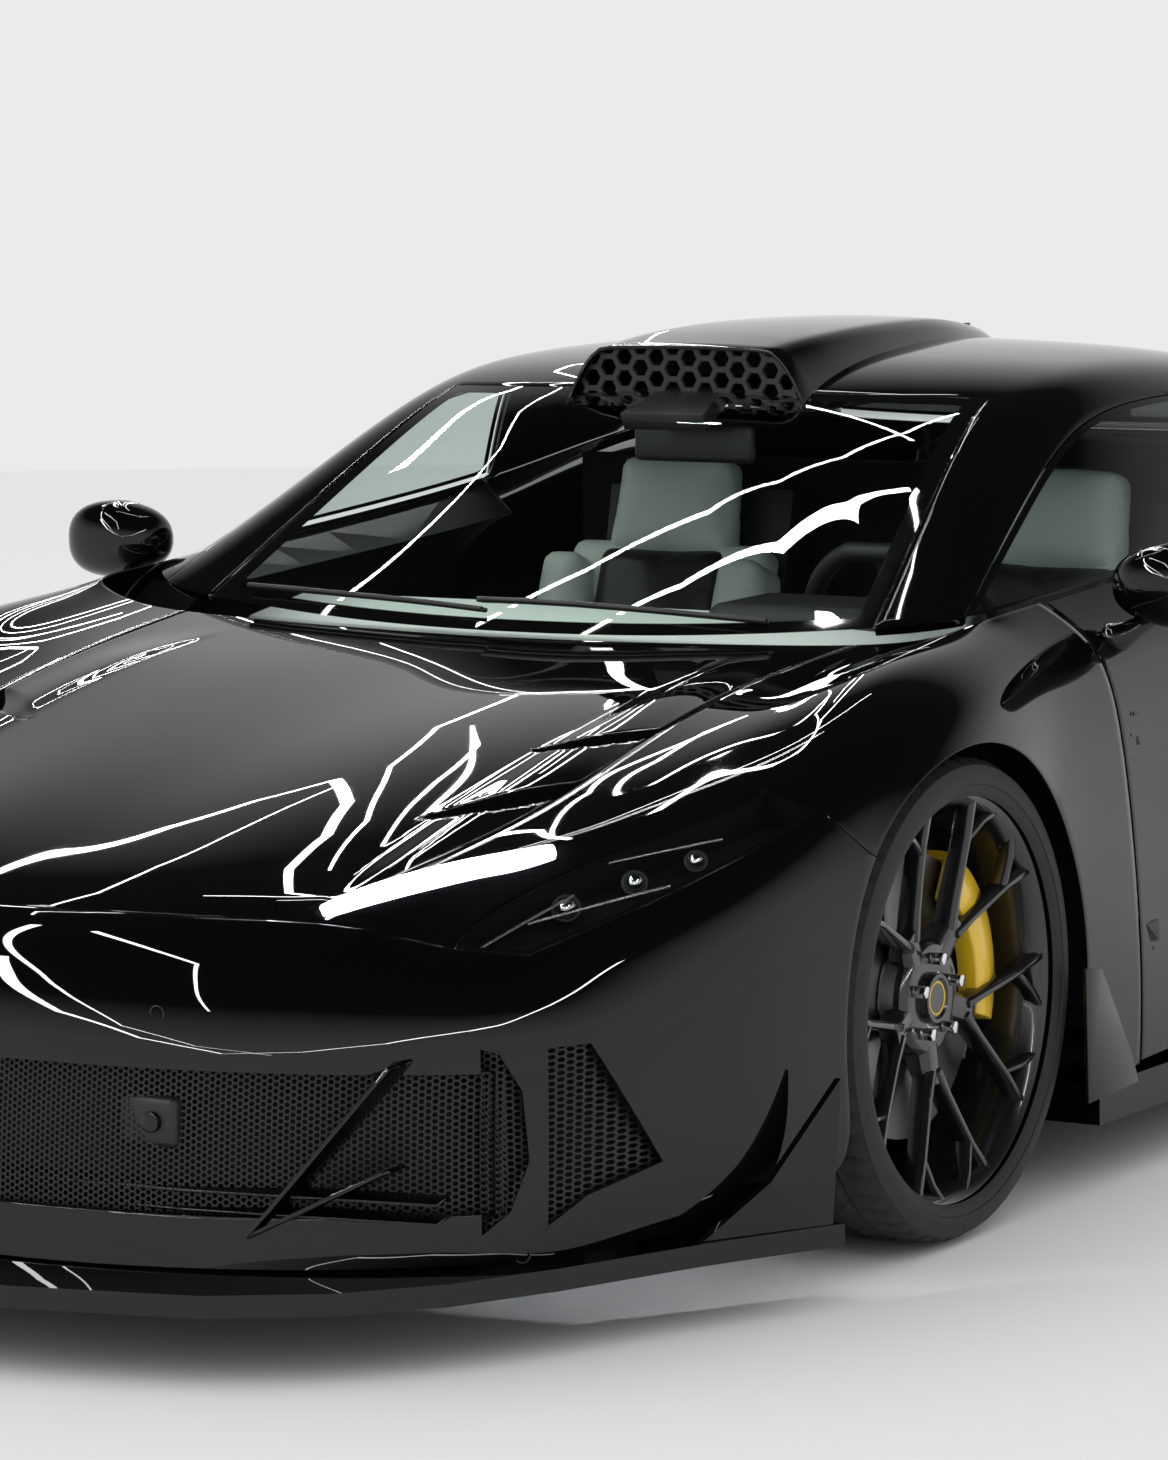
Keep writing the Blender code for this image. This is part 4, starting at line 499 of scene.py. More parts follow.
def end_levels(points, patch, station, level_shares, across_shares):
    """The face that closes one end of the body, from the shoulder corner to the centreline."""
    for level, (along_share, height_share) in enumerate(level_shares, start=1):
        corner = points["body", station, shoulder_line + level]
        centre = car_point(along_share, 0.0, height_share)
        for line, across_share in enumerate(across_shares):
            x = across_share * half_width
            blend = (x / corner.x) ** nose_roundness
            y = centre.y + (corner.y - centre.y) * blend
            z = centre.z + (corner.z - centre.z) * blend
            points[patch, level, line] = Vector((x, y, z))
        points[patch, level, shoulder_line] = corner
    for line in range(shoulder_line + 1):
        points[patch, 0, line] = points["body", station, line]


def body_panel(i, line):
    """Which panel a cage face of the body patch belongs to."""
    if front_arch_stations[0] <= i < front_arch_stations[-1] and line >= 6:
        return None
    if rear_arch_stations[0] <= i < rear_arch_stations[-1] and line >= 6:
        return None
    if i < cowl_station and line < 2:
        return "bonnet"
    if i < 3 and line == 4:
        return "headlamp"
    if i < 3 and line >= 5:
        return "front_bumper"
    if i < cowl_station and line < 4:
        return "front_fender"
    if i < door_front_station:
        return "front_fender" if line >= 4 else None
    if i < door_rear_station:
        return "door" if line >= 4 else None
    if i < lid_front_station:
        return "rear_quarter" if line >= 4 else None
    if line < 3:
        return "engine_lid" if i < lid_rear_station else "rear_bumper"
    if i >= 17 and line >= 7:
        return "rear_bumper"
    return "rear_quarter"


def nose_panel(level, line):
    if level == 2 and line < 4:
        return "front_grille"
    return "front_bumper"


def tail_panel(level, line):
    if level == 0 and line in (3, 4):
        return "tail_lamp"
    return "rear_bumper"


# Greenhouse: rows of (along, across, height) shares from the centreline outwards, and the place on the
# beltline
greenhouse_shares = (
    ((0.121, 0.0, 0.667), (0.129, 0.306, 0.670), (0.152, 0.640, 0.690), (0.168, 0.722, 0.700), 0.200),
    ((0.228, 0.0, 0.822), (0.236, 0.290, 0.820), (0.262, 0.580, 0.826), (0.275, 0.655, 0.830), 0.327),
    ((0.336, 0.0, 0.969), (0.344, 0.270, 0.967), (0.374, 0.512, 0.961), (0.388, 0.590, 0.955), 0.462),
    ((0.470, 0.0, 0.998), (0.475, 0.285, 0.994), (0.490, 0.520, 0.985), (0.500, 0.615, 0.960), 0.600),
    ((0.620, 0.0, 0.998), (0.620, 0.290, 0.992), (0.625, 0.520, 0.980), (0.640, 0.635, 0.935), 0.730),
    ((0.730, 0.0, 0.955), (0.730, 0.280, 0.950), (0.735, 0.500, 0.940), (0.745, 0.650, 0.905), 0.832),
    ((0.896, 0.0, 0.818), (0.896, 0.280, 0.820), (0.899, 0.530, 0.826), (0.902, 0.700, 0.838), 0.912),
)
beltline = 4


def greenhouse_panel(i, line):
    if i < 2 and line < 2:
        return "windscreen"
    if line == 3 and i < 3:
        return "door_glass"
    if i == 5 and line < 2:
        return "rear_glass"
    return "roof"


centre_panels = (
    "bonnet", "front_bumper", "front_grille", "engine_lid", "rear_bumper",
    "windscreen", "roof", "rear_glass",
)


def square(i, line):
    """The places round one cage face."""
    return (i, line), (i, line + 1), (i + 1, line + 1), (i + 1, line)


def cage_patches():
    """The corners and the panel of every face of the body's left half."""
    points = skin_cage()
    end_levels(points, "nose", 0, nose_level_shares, nose_across_shares)
    end_levels(points, "tail", last_station, tail_level_shares, tail_across_shares)
    patches = []
    for i in range(last_station):
        for line in range(sill_line):
            panel = body_panel(i, line)
            if panel:
                patches.append(([points["body", *place] for place in square(i, line)], panel))
    for patch, chooser, turn in (("nose", nose_panel, -1), ("tail", tail_panel, 1)):
        for level in range(4):
            for line in range(shoulder_line):
                corners = [points[patch, *place] for place in square(level, line)[::turn]]
                patches.append((corners, chooser(level, line)))
    return patches


def greenhouse_patches():
    grid = []
    for row in greenhouse_shares:
        rise = Vector((0.0, 0.0, belt_gap * (6 if row is greenhouse_shares[-1] else 1)))
        inner = [car_point(*shares) for shares in row[:beltline]]
        grid.append(inner + [line_point(beltline, row[beltline]) + rise])
    patches = []
    for i in range(len(grid) - 1):
        for line in range(4):
            patches.append(([grid[k][n] for k, n in square(i, line)], greenhouse_panel(i, line)))
    return patches


def fine_panels(name, patches, level):
    """Mirrors the cage, subdivides it and parts it into one open sheet per panel."""
    vertices, index, faces, panels = [], {}, [], []
    for corners, panel in patches:
        for side in (1, -1):
            loop = []
            for c in corners:
                key = tuple(round(k, 6) for k in (side * c.x, c.y, c.z))
                if key not in index:
                    index[key] = len(vertices)
                    vertices.append(key)
                loop.append(index[key])
            faces.append(loop[::side])
            panels.append(panel if panel in centre_panels else panel + ("_left" if side > 0 else "_right"))
    cage = mesh_piece(name, vertices, faces)
    names = sorted(set(panels))
    for panel in names:
        cage.data.materials.append(bpy.data.materials.new("tag_" + panel))
    cage.data.polygons.foreach_set("material_index", [names.index(panel) for panel in panels])
    apply_modifier(cage, "SUBSURF", levels=level, render_levels=level)
    bpy.ops.object.mode_set(mode="EDIT")
    bpy.ops.mesh.separate(type="MATERIAL")
    bpy.ops.object.mode_set(mode="OBJECT")
    sheets = {}
    for piece in list(bpy.context.selected_objects):
        tag = piece.data.materials[piece.data.polygons[0].material_index].name
        piece.data.materials.clear()
        sheets[tag[4:]] = piece
    return sheets


def drawn_in(piece, gap):
    """Moves a sheet's edge into the sheet by the gap, square to the edge."""
    shape = bmesh.new()
    shape.from_mesh(piece.data)
    pushes = {}
    for edge in shape.edges:
        if edge.is_boundary:
            a, b = edge.verts
            along = (b.co - a.co).normalized()
            inward = edge.link_faces[0].calc_center_median() - a.co
            inward = (inward - inward.dot(along) * along).normalized()
            for vertex in (a, b):
                pushes.setdefault(vertex, []).append(inward)
    for vertex, inwards in pushes.items():
        total = sum(inwards, Vector())
        vertex.co += total.normalized() * gap / max(0.5, total.length / len(inwards))
    shape.to_mesh(piece.data)
    shape.free()
    return piece


def thickened(piece, thickness):
    """Gives a sheet its thickness inwards and rounds its edge."""
    apply_modifier(piece, "SOLIDIFY", thickness=thickness, offset=-1.0, use_even_offset=True)
    return shade(bevelled(piece, edge_rounding, 2, 55.0), 40.0)


edge_rounding, cage_levels = 0.0007, 4
sheets = fine_panels("body_cage", cage_patches(), cage_levels)
sheets.update(fine_panels("greenhouse_cage", greenhouse_patches(), cage_levels))

# %% [markdown]
# Every material is procedural. The paint is a clear coat over a black that gives nothing back itself, so
# that the studio alone draws the shapes. Glass is a mix of a tinted see-through and a mirror, by Fresnel.

# %% Finishes
coated = {"Specular_IOR_Level": 0.0, "Coat_Weight": 1.0}
black = (0.0022, 0.0022, 0.0026)
paint = Finish("gloss_black", "gloss_black_paint", black, 0.5, Coat_Roughness=0.012, **coated)
satin = Finish("satin_black", "satin_black_plastic", (0.012, 0.012, 0.013), 0.42)
satin.uneven(180.0, 0.16, 0.36)
matt = Finish("matt_black", "satin_black_plastic", (0.006, 0.006, 0.006), 0.85, Specular_IOR_Level=0.2)
matt.bump(matt.noise(900.0), 0.0003, 0.4)
forged = Finish("forged_gloss", "forged_black", (0.006, 0.006, 0.007), 0.2)
forged.set(Coat_Weight=0.8, Coat_Roughness=0.06)
forged.uneven(60.0, 0.1, 0.2)
machined = Finish("machined", "machined_metal", (0.42, 0.42, 0.43), 0.28, Metallic=1.0)
machined.uneven(220.0, 0.14, 0.22)
chrome = Finish("chrome", "machined_metal", (0.92, 0.92, 0.93), 0.06, Metallic=1.0)
disc_iron = Finish("disc_iron", "machined_metal", (0.22, 0.22, 0.225), 0.34, Metallic=1.0)
disc_iron.bump(disc_iron.noise(420.0, 3.0), 0.0002, 0.35)
yellow = Finish("caliper_yellow", "machined_metal", (0.78, 0.50, 0.012), 0.32)
yellow.set(Coat_Weight=0.7, Coat_Roughness=0.08)
dark_leather = Finish("dark_leather", "dark_leather", (0.016, 0.017, 0.018), 0.5)
dark_leather.bump(dark_leather.cells(620.0), 0.0004, 0.35)
pale_leather = Finish("pale_leather", "pale_leather", (0.74, 0.80, 0.755), 0.46)
pale_leather.bump(pale_leather.cells(560.0) + pale_leather.noise(60.0) * 0.6, 0.0005, 0.3)
red_lens = Finish("red_lens", "lamp_red", (0.22, 0.006, 0.006), 0.12, Coat_Weight=1.0, Coat_Roughness=0.02)
lamp_white = Finish("lamp_white", "lamp_glass", (0.9, 0.9, 0.92), 0.3)
lamp_white.set(Emission_Color=(0.93, 0.96, 1.0, 1.0), Emission_Strength=60.0)
rubber = Finish("rubber", "tyre_rubber", (0.013, 0.013, 0.0135), 0.66)
rubber.uneven(140.0, 0.2, 0.56, 3.0)


def see_through(name, slot, tint, ior, band_width):
    """Glass, seen from both sides, with a black band along its edge. Each point knows how far that is."""
    made = Finish(name, slot, (0.003, 0.003, 0.003), 0.3, Coat_Roughness=0.01, **coated)
    clear = made.node("ShaderNodeBsdfTransparent", {"Color": (*tint, 1.0)})
    mirror = made.node("ShaderNodeBsdfGlossy", {"Color": (1.0, 1.0, 1.0, 1.0), "Roughness": 0.0})
    behind = made.node("ShaderNodeNewGeometry", output="Backfacing")
    fresnel = made.node("ShaderNodeFresnel", {"IOR": behind * (1.0 / ior - ior) + ior})
    to_edge = made.node("ShaderNodeAttribute", output="Fac", attribute_name="edge")
    band = 1.0 - to_edge.ramp(band_width * 0.92, band_width)
    made.surface(made.blend(band, made.blend(fresnel, clear, mirror), Value(made, made.shader.outputs[0])))
    return made


def honeycomb(name, pitch, web):
    """A black sheet with hexagonal holes: each point's place in its six-sided cell decides its Alpha."""
    made = Finish(name, "satin_black_plastic", (0.007, 0.007, 0.0075), 0.4)
    x, z = (made.node("ShaderNodeSeparateXYZ", {0: made.place()}, axis) for axis in "XZ")
    u, v = z / pitch, x / pitch
    tall = math.sqrt(3.0)

    def cell(shift):
        across = abs((u + shift).part() - 0.5)
        along = abs((v / tall + shift).part() - 0.5) * tall
        return across.most(across * 0.5 + along * (tall / 2.0))

    made.set(Alpha=cell(0.0).least(cell(0.5)) > 0.5 - web / pitch / 2.0)
    return made


screen_glass = see_through("screen_glass", "tinted_glass", (0.88, 0.96, 0.92), 1.5, 0.030)
side_glass = see_through("side_glass", "tinted_glass", (0.78, 0.86, 0.82), 1.5, 0.012)
back_glass = see_through("back_glass", "tinted_glass", (0.10, 0.11, 0.11), 1.5, 0.030)
lamp_glass = see_through("clear_lens", "lamp_glass", (0.93, 0.95, 0.96), 1.45, 0.006)
intake_mesh = honeycomb("intake_mesh", 0.0085, 0.0024)
scoop_mesh = honeycomb("scoop_mesh", 0.034, 0.0085)


def dressed(piece, finish, body, *nodes):
    """Gives a piece its material and its body, and hides the solids that it stands for."""
    finish.wear(piece)
    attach(piece, body)
    if nodes:
        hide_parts(*nodes)
    return piece


def pair(piece, stem, finish, body="root", node=None):
    """Dresses a left piece and its mirror. In the names, SIDE stands for left or right."""
    other = copied(renamed(piece, stem + "_left"), stem + "_right", mirror_x)
    for made, side in zip((piece, other), sides):
        nodes = (node.replace("SIDE", side),) if node else ()
        dressed(made, finish, body.replace("SIDE", side), *nodes)
    return piece, other

# %% [markdown]
# The whole skin is also kept as a search tree, so that lamps, bars and strips can be set down on it.

# %% Places on the skin
tree_points, tree_faces = [], []
for piece in sheets.values():
    base = len(tree_points)
    tree_points += [v.co.copy() for v in piece.data.vertices]
    tree_faces += [tuple(base + k for k in polygon.vertices) for polygon in piece.data.polygons]
skin_tree = BVHTree.FromPolygons(tree_points, tree_faces)
down, forwards, to_right = Vector((0.0, 0.0, -1.0)), Vector((0.0, -1.0, 0.0)), Vector((-1.0, 0.0, 0.0))
across, upright = (1.0, 0.0, 0.0), (0.0, 0.0, 1.0)


def axle_point(x, y, z):
    """A point measured from the front axle, in the model's frame."""
    return Vector((x, y + front_axle_y, z))


def skin_hit(start, direction):
    """Where a line first meets the skin."""
    return skin_tree.ray_cast(Vector(start), direction)[0]


def on_skin(x, y, rise):
    """The skin's top at a place measured from the front axle, raised by a little."""
    spot, normal = skin_tree.ray_cast(axle_point(x, y, 2.0), down)[:2]
    return spot + normal * (rise if normal.z > 0.0 else -rise)


def line_on_skin(ends, count, rise):
    """Spots on the skin above a straight line, whose ends are (x, y, x, y) from the front axle."""
    x0, y0, x1, y1 = ends
    return [on_skin(x0 + (x1 - x0) * t, y0 + (y1 - y0) * t, rise) for t in np.linspace(0.0, 1.0, count)]


def bowl_of(name, gap, depth, new_name):
    """Copies a sheet and turns it into an open tray: its floor and walls, without the front."""
    piece = drawn_in(copied(sheets[name], new_name), gap)
    count = len(piece.data.polygons)
    apply_modifier(piece, "SOLIDIFY", thickness=depth, offset=-1.0)
    shape = bmesh.new()
    shape.from_mesh(piece.data)
    shape.faces.ensure_lookup_table()
    bmesh.ops.delete(shape, geom=[shape.faces[k] for k in range(count)], context="FACES")
    shape.to_mesh(piece.data)
    shape.free()
    return shade(piece, 40.0)


def prism(name, outline, direction, rise, depth):
    """A closed prism through an outline, from above it to below it."""
    direction = Vector(direction).normalized()
    count = len(outline)
    points = [p + direction * step for step in (rise, -depth) for p in outline]
    faces = [tuple(range(count)), tuple(range(2 * count - 1, count - 1, -1))]
    faces += grid_faces(2, count, columns_close=True, turned=True)
    return clean_normals(mesh_piece(name, points, faces))


def cut(piece, tool):
    """Cuts a closed tool out of a piece and deletes the tool."""
    apply_modifier(piece, "BOOLEAN", object=tool, operation="DIFFERENCE", solver="EXACT")
    bpy.data.objects.remove(tool, do_unlink=True)


def tube(name, spots, radius, count=12):
    """A round bar through spots, with a radius for each or one for all."""
    radii = radius if isinstance(radius, (list, tuple)) else [radius] * len(spots)
    vertices = []
    for k, (spot, size) in enumerate(zip(spots, radii)):
        along = (spots[min(k + 1, len(spots) - 1)] - spots[max(k - 1, 0)]).normalized()
        side = along.cross(Vector(upright if abs(along.z) < 0.9 else across)).normalized()
        lift = side.cross(along)
        for n in range(count):
            angle = 2.0 * math.pi * n / count
            vertices.append(spot + side * math.cos(angle) * size + lift * math.sin(angle) * size)
    faces = grid_faces(len(spots), count, columns_close=True)
    faces += [tuple(range(count))[::-1], tuple(range(len(vertices) - count, len(vertices)))]
    return shade(clean_normals(mesh_piece(name, vertices, faces)), 50.0)


def blade(name, corners, thickness, direction):
    """A flat plate through corners, with its thickness along a direction and a small rounding."""
    piece = prism(name, corners, direction, thickness / 2, thickness / 2)
    return shade(bevelled(piece, min(0.0012, thickness / 4)))

# %% [markdown]
# Body panels: each sheet is drawn back from its seams, thickened and rounded at its edge. The doors also
# keep a core, a slightly smaller copy of the solid door, so that an open door has its depth and inside.

# %% Body panels
moving_seams = {"bonnet": 0.0022, "door_left": 0.0055, "door_right": 0.0055, "engine_lid": 0.0022}
fixed_seam, skin_depth = 0.0008, 0.004
door_skin_front, door_core_front, door_core_inset = 0.003, 0.035, 0.007


def cut_front(piece, limit):
    """Keeps a piece behind a limit, so that its front edge clears the hinge pillar as the door swings."""
    for vertex in piece.data.vertices:
        vertex.co.y = max(vertex.co.y, limit)


def core_of(node, name, inset):
    """A copy of a solid with its points moved inwards along their normals."""
    piece = clean_normals(copied(frame["nodes"][node], name), 0.00001)
    shape = bmesh.new()
    shape.from_mesh(piece.data)
    shape.normal_update()
    for vertex, move in [(v, v.normal * inset) for v in shape.verts]:
        vertex.co -= move
    shape.to_mesh(piece.data)
    shape.free()
    return shade(piece, 30.0)


for name in (
    "front_bumper", "front_fender_left", "front_fender_right", "door_left", "door_right",
    "rear_quarter_left", "rear_quarter_right", "engine_lid", "rear_bumper",
):
    piece = thickened(drawn_in(sheets[name], moving_seams.get(name, fixed_seam)), skin_depth)
    if name.startswith("door"):
        cut_front(piece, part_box(name)[0].y + door_skin_front)
    dressed(renamed(piece, name + "_skin"), paint, name if name in moving_seams else "root", name)
dressed(renamed(thickened(drawn_in(sheets["roof"], 0.0010), 0.014), "roof_skin"), paint, "root", "roof")

for side in sides:
    core = core_of("door_" + side, "door_core_" + side, door_core_inset)
    cut_front(core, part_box("door_" + side)[0].y + door_core_front)
    dressed(core, satin, "door_" + side)

# %% [markdown]
# The bonnet is subdivided further. Its ridge and its two pairs of louvres are pressed into the sheet by
# moving its points up or down, by an amount that depends on where they lie on it.

# %% Bonnet
bonnet = apply_modifier(sheets["bonnet"], "SUBSURF", levels=1, render_levels=1, subdivision_type="SIMPLE")
# Louvres: (start, end, half width); the ridge's crest and foot: (along, across), from the front axle
louvre_lines = (((0.425, -0.575), (0.580, -0.385), 0.026), ((0.430, -0.310), (0.585, -0.175), 0.024))
louvre_depth, ridge_height = 0.016, 0.004
ridge_crest = ((-0.846, 0.470), (-0.675, 0.477), (-0.380, 0.483), (-0.160, 0.480), (0.298, 0.449))
ridge_foot = ((-0.870, 0.440), (-0.553, 0.432), (-0.241, 0.432), (0.067, 0.450), (0.298, 0.430))


def smooth(value, low, high):
    t = min(1.0, max(0.0, (value - low) / (high - low)))
    return t * t * (3.0 - 2.0 * t)


def pressed(x, y):
    """How far the bonnet's sheet rises at a place, measured from the front axle."""
    crest, foot = (float(np.interp(y, *zip(*line))) for line in (ridge_crest, ridge_foot))
    fade = smooth(y, -0.90, -0.70) * (1.0 - smooth(y, 0.0, 0.25))
    rise = ridge_height * fade * (smooth(x, foot - 0.004, crest) if x < crest else 1.0)
    rise *= 1.0 - smooth(x, crest, crest + 0.10)
    for start, end, width in louvre_lines:
        along, from_start = Vector(end) - Vector(start), Vector((x, y)) - Vector(start)
        t = from_start.dot(along) / along.length_squared
        if 0.0 < t < 1.0:
            off = (from_start - along * t).dot(Vector((along.y, -along.x)).normalized())
            half = width * math.sin(math.pi * t) ** 0.7
            place = (off + half) / (2.0 * half)
            if abs(off) < half:
                rise -= louvre_depth * smooth(place, 0.0, 0.85) * (1.0 - smooth(place, 0.90, 1.0))
    return rise


for vertex in bonnet.data.vertices:
    vertex.co.z += pressed(abs(vertex.co.x), vertex.co.y - front_axle_y)
bonnet = thickened(drawn_in(bonnet, moving_seams["bonnet"]), skin_depth)
dressed(renamed(bonnet, "bonnet_skin"), paint, "bonnet", "bonnet")

# %% [markdown]
# Panes carry at each point the distance to their edge, which places the printed black band.

# %% Glass
def pane_of(name, gap, ending):
    """Draws a sheet in and writes each point's distance to the edge on it."""
    piece = drawn_in(sheets[name], gap)
    shape = bmesh.new()
    shape.from_mesh(piece.data)
    rim = [v.co.copy() for v in shape.verts if v.is_boundary]
    rim += [(e.verts[0].co + e.verts[1].co) / 2 for e in shape.edges if e.is_boundary]
    shape.free()
    rim = np.array(rim)
    points = np.array([v.co for v in piece.data.vertices])
    nearest = np.array([np.sqrt(((rim - p) ** 2).sum(axis=1).min()) for p in points])
    layer = piece.data.attributes.new("edge", "FLOAT", "POINT")
    layer.data.foreach_set("value", nearest)
    return renamed(shade(piece, 60.0), name + ending)


pane_gap = 0.0016
dressed(pane_of("windscreen", pane_gap, "_pane"), screen_glass, "root", "windscreen")
dressed(pane_of("rear_glass", pane_gap, "_pane"), back_glass, "root", "rear_glass")
for side in sides:
    name = "door_glass_" + side
    dressed(pane_of(name, pane_gap, "_pane"), side_glass, "door_" + side, name)

# %% [markdown]
# The front openings are cut through the bumper's skin: the outer end of the wide grille, bounded by a
# C-shaped pillar, and behind the pillar a narrow vent. Trays with a fine honeycomb close them.

# %% Front openings
# (name, the way it faces, depth of its net, depth of its tray, outline from the front axle)
openings = (
    ("grille_end", (0.55, -0.83, 0.0), 0.026, 0.060, (
        (0.690, -0.875, 0.400), (0.712, -0.865, 0.392), (0.733, -0.845, 0.345),
        (0.739, -0.840, 0.254), (0.722, -0.860, 0.190), (0.690, -0.880, 0.160),
    )),
    ("side_vent", (0.80, -0.60, 0.0), 0.014, 0.045, (
        (0.756, -0.818, 0.397), (0.790, -0.767, 0.398), (0.838, -0.673, 0.232),
        (0.790, -0.780, 0.203), (0.758, -0.826, 0.168),
    )),
)
tool_rise, tool_depth = 0.06, 0.05
tray_widening, tray_front = 1.04, 0.004
bumper = bpy.data.objects["front_bumper_skin"]
for turn in (1.0, -1.0):
    for stem, (x, y, z), net_depth, tray_depth, outline in openings:
        ring = [axle_point(turn * spot[0], *spot[1:]) for spot in outline]
        cut(bumper, prism("tool", ring, (turn * x, y, z), tool_rise, tool_depth))
shade(bumper, 40.0)

dressed(bowl_of("front_grille", -0.004, 0.060, "grille_tray"), matt, "root", "front_grille")
net = renamed(drawn_in(sheets["front_grille"], -0.004), "grille_net")
net.data.transform(Matrix.Translation((0.0, 0.026, 0.0)))
dressed(net, intake_mesh, "root")
for stem, normal, net_depth, tray_depth, outline in openings:
    ring = [axle_point(*spot) for spot in outline]
    count, middle, back = len(ring), sum(ring, Vector()) / len(ring), Vector(normal).normalized()
    wide = [middle + (p - middle) * tray_widening for p in ring]
    walls = [p - back * depth for depth in (tray_front, tray_depth) for p in wide]
    faces = grid_faces(2, count, columns_close=True) + [tuple(range(count, 2 * count))]
    pair(mesh_piece("tray", walls, faces), stem + "_tray", matt)
    net = mesh_piece("net", [p - back * net_depth for p in wide], [tuple(range(count))])
    pair(net, stem + "_net", intake_mesh)

vane_depth, vane_thickness = Vector((0.0, 0.055, 0.0)), 0.006
vane_top, vane_foot, vane_end = (
    axle_point(*spot) for spot in ((0.631, -1.000, 0.392), (0.440, -1.045, 0.165), (0.622, -1.005, 0.258))
)
for stem, a, b in (("vane_long", vane_top, vane_foot), ("vane_low", vane_foot, vane_end)):
    corners = [a, b, b + vane_depth, a + vane_depth]
    pair(blade(stem, corners, vane_thickness, (b - a).cross(vane_depth)), stem, paint)
slat_places, slat_bow = (-0.68, -0.34, 0.0, 0.34, 0.68), 0.20
for k, height in enumerate((0.215, 0.190)):
    corners = [axle_point(x, -1.062 + slat_bow * x * x, height) for x in slat_places]
    corners += [axle_point(x, -1.030 + slat_bow * x * x, height + 0.006) for x in reversed(slat_places)]
    dressed(blade("grille_slat_%d" % k, corners, 0.004, upright), paint, "root")

housing = rounded_box("camera_housing", axle_point(0.284, -1.010, 0.299), (0.088, 0.050, 0.068), 0.010)
dressed(housing, satin, "root")
facing_front = (right_angle, 0.0, 0.0)
lens = cylinder("camera_lens", axle_point(0.292, -1.037, 0.300), 0.014, 0.012, 32, facing_front, 0.003)
dressed(shade(lens), paint, "root")
for k, (start, along, spot, degrees) in enumerate((
    ((0.916, -1.261, 0.132), (-0.45, 1.0, 0.0), (0.716, -0.861, 0.132), 28.0),
    ((0.300, -1.450, 0.440), (0.0, 1.0, 0.0), (0.300, -1.050, 0.440), 6.0),
)):
    place = skin_hit(axle_point(*start), Vector(along).normalized()) or axle_point(*spot)
    ring = torus("sensor_ring", place, 0.010, 0.0012, (90.0, 0.0, degrees), (32, 8))
    pair(ring, "sensor_ring_%d" % k, satin)

# %% [markdown]
# Headlamps: a clear lens over a dark bowl with three projectors and slim bars, and on the bonnet's outer
# edge the lit bar that the photograph shows burnt out to white.

# %% Headlamps
for side in sides:
    name = "headlamp_" + side
    dressed(bowl_of(name, 0.001, 0.055, name + "_bowl"), matt, "root", name)
    dressed(pane_of(name, 0.0015, "_lens"), lamp_glass, "root")
projector_spots = ((0.684, -0.650, 0.014), (0.735, -0.560, 0.0125), (0.783, -0.480, 0.011))
for k, (x, y, radius) in enumerate(projector_spots):
    spot = on_skin(x, y, -0.030)
    bpy.ops.mesh.primitive_uv_sphere_add(segments=32, ring_count=16, radius=radius, location=spot)
    pair(shade(settled("projector"), 80.0), "projector_%d" % k, chrome)
    bezel = torus("bezel", spot, radius * 1.25, 0.003, (60.0, 0.0, 30.0))
    pair(bezel, "projector_bezel_%d" % k, satin)
rail_ends = ((0.655, -0.600, 0.800, -0.440), (0.668, -0.720, 0.790, -0.560), (0.640, -0.790, 0.690, -0.640))
for k, ends in enumerate(rail_ends):
    pair(tube("lamp_rail", line_on_skin(ends, 5, -0.014), 0.0022, 8), "lamp_rail_%d" % k, machined)

bar_start, bar_end = (0.452, -0.868), (0.628, -0.588)
bar_bow, bar_radius, bar_steps = 0.012, 0.0145, 12
bar_spots, bar_radii = [], []
for k in range(bar_steps + 1):
    t = k / bar_steps
    x, y = (a + (b - a) * t for a, b in zip(bar_start, bar_end))
    bar_spots.append(on_skin(x, y + bar_bow * math.sin(math.pi * t), 0.001))
    bar_radii.append(bar_radius * (0.35 + 0.65 * math.sin(math.pi * (0.06 + 0.88 * t)) ** 0.5))
pair(tube("day_light", bar_spots, bar_radii, 14), "day_light", lamp_white)

# %% [markdown]
# Fins, mirrors, wipers and the antenna.

# %% Small outer pieces
fin_thickness = 0.006
skirt_fin = ((0.296, 0.343), (0.348, 0.335), (0.447, 0.196), (0.470, 0.150), (0.304, 0.146))
skirt_fin = [axle_point(0.972, y, z) for y, z in skirt_fin]
pair(blade("skirt_fin", skirt_fin, fin_thickness, across), "skirt_fin", paint)
antenna = ((1.740, 1.060), (1.864, 1.060), (1.860, 1.158), (1.845, 1.158), (1.751, 1.125))
antenna = [axle_point(0.0, y, z) for y, z in antenna]
dressed(blade("antenna_fin", antenna, fin_thickness, across), paint, "root")


def mirror_head(centre, size):
    """An egg-shaped housing, flat at the rear."""
    bpy.ops.mesh.primitive_uv_sphere_add(segments=48, ring_count=24, radius=1.0)
    head = settled("mirror_head")
    for vertex in head.data.vertices:
        x, y, z = vertex.co
        grow = (abs(x) ** 2.6 + abs(y) ** 2.2 + abs(z) ** 2.6) ** (-1.0 / 2.4)
        x, y, z = x * grow, min(y * grow, 0.55), z * grow
        z *= 1.0 - 0.22 * max(0.0, -x)
        vertex.co = centre + Vector((x * size.x, y * size.y, z * size.z))
    return shade(head, 40.0)


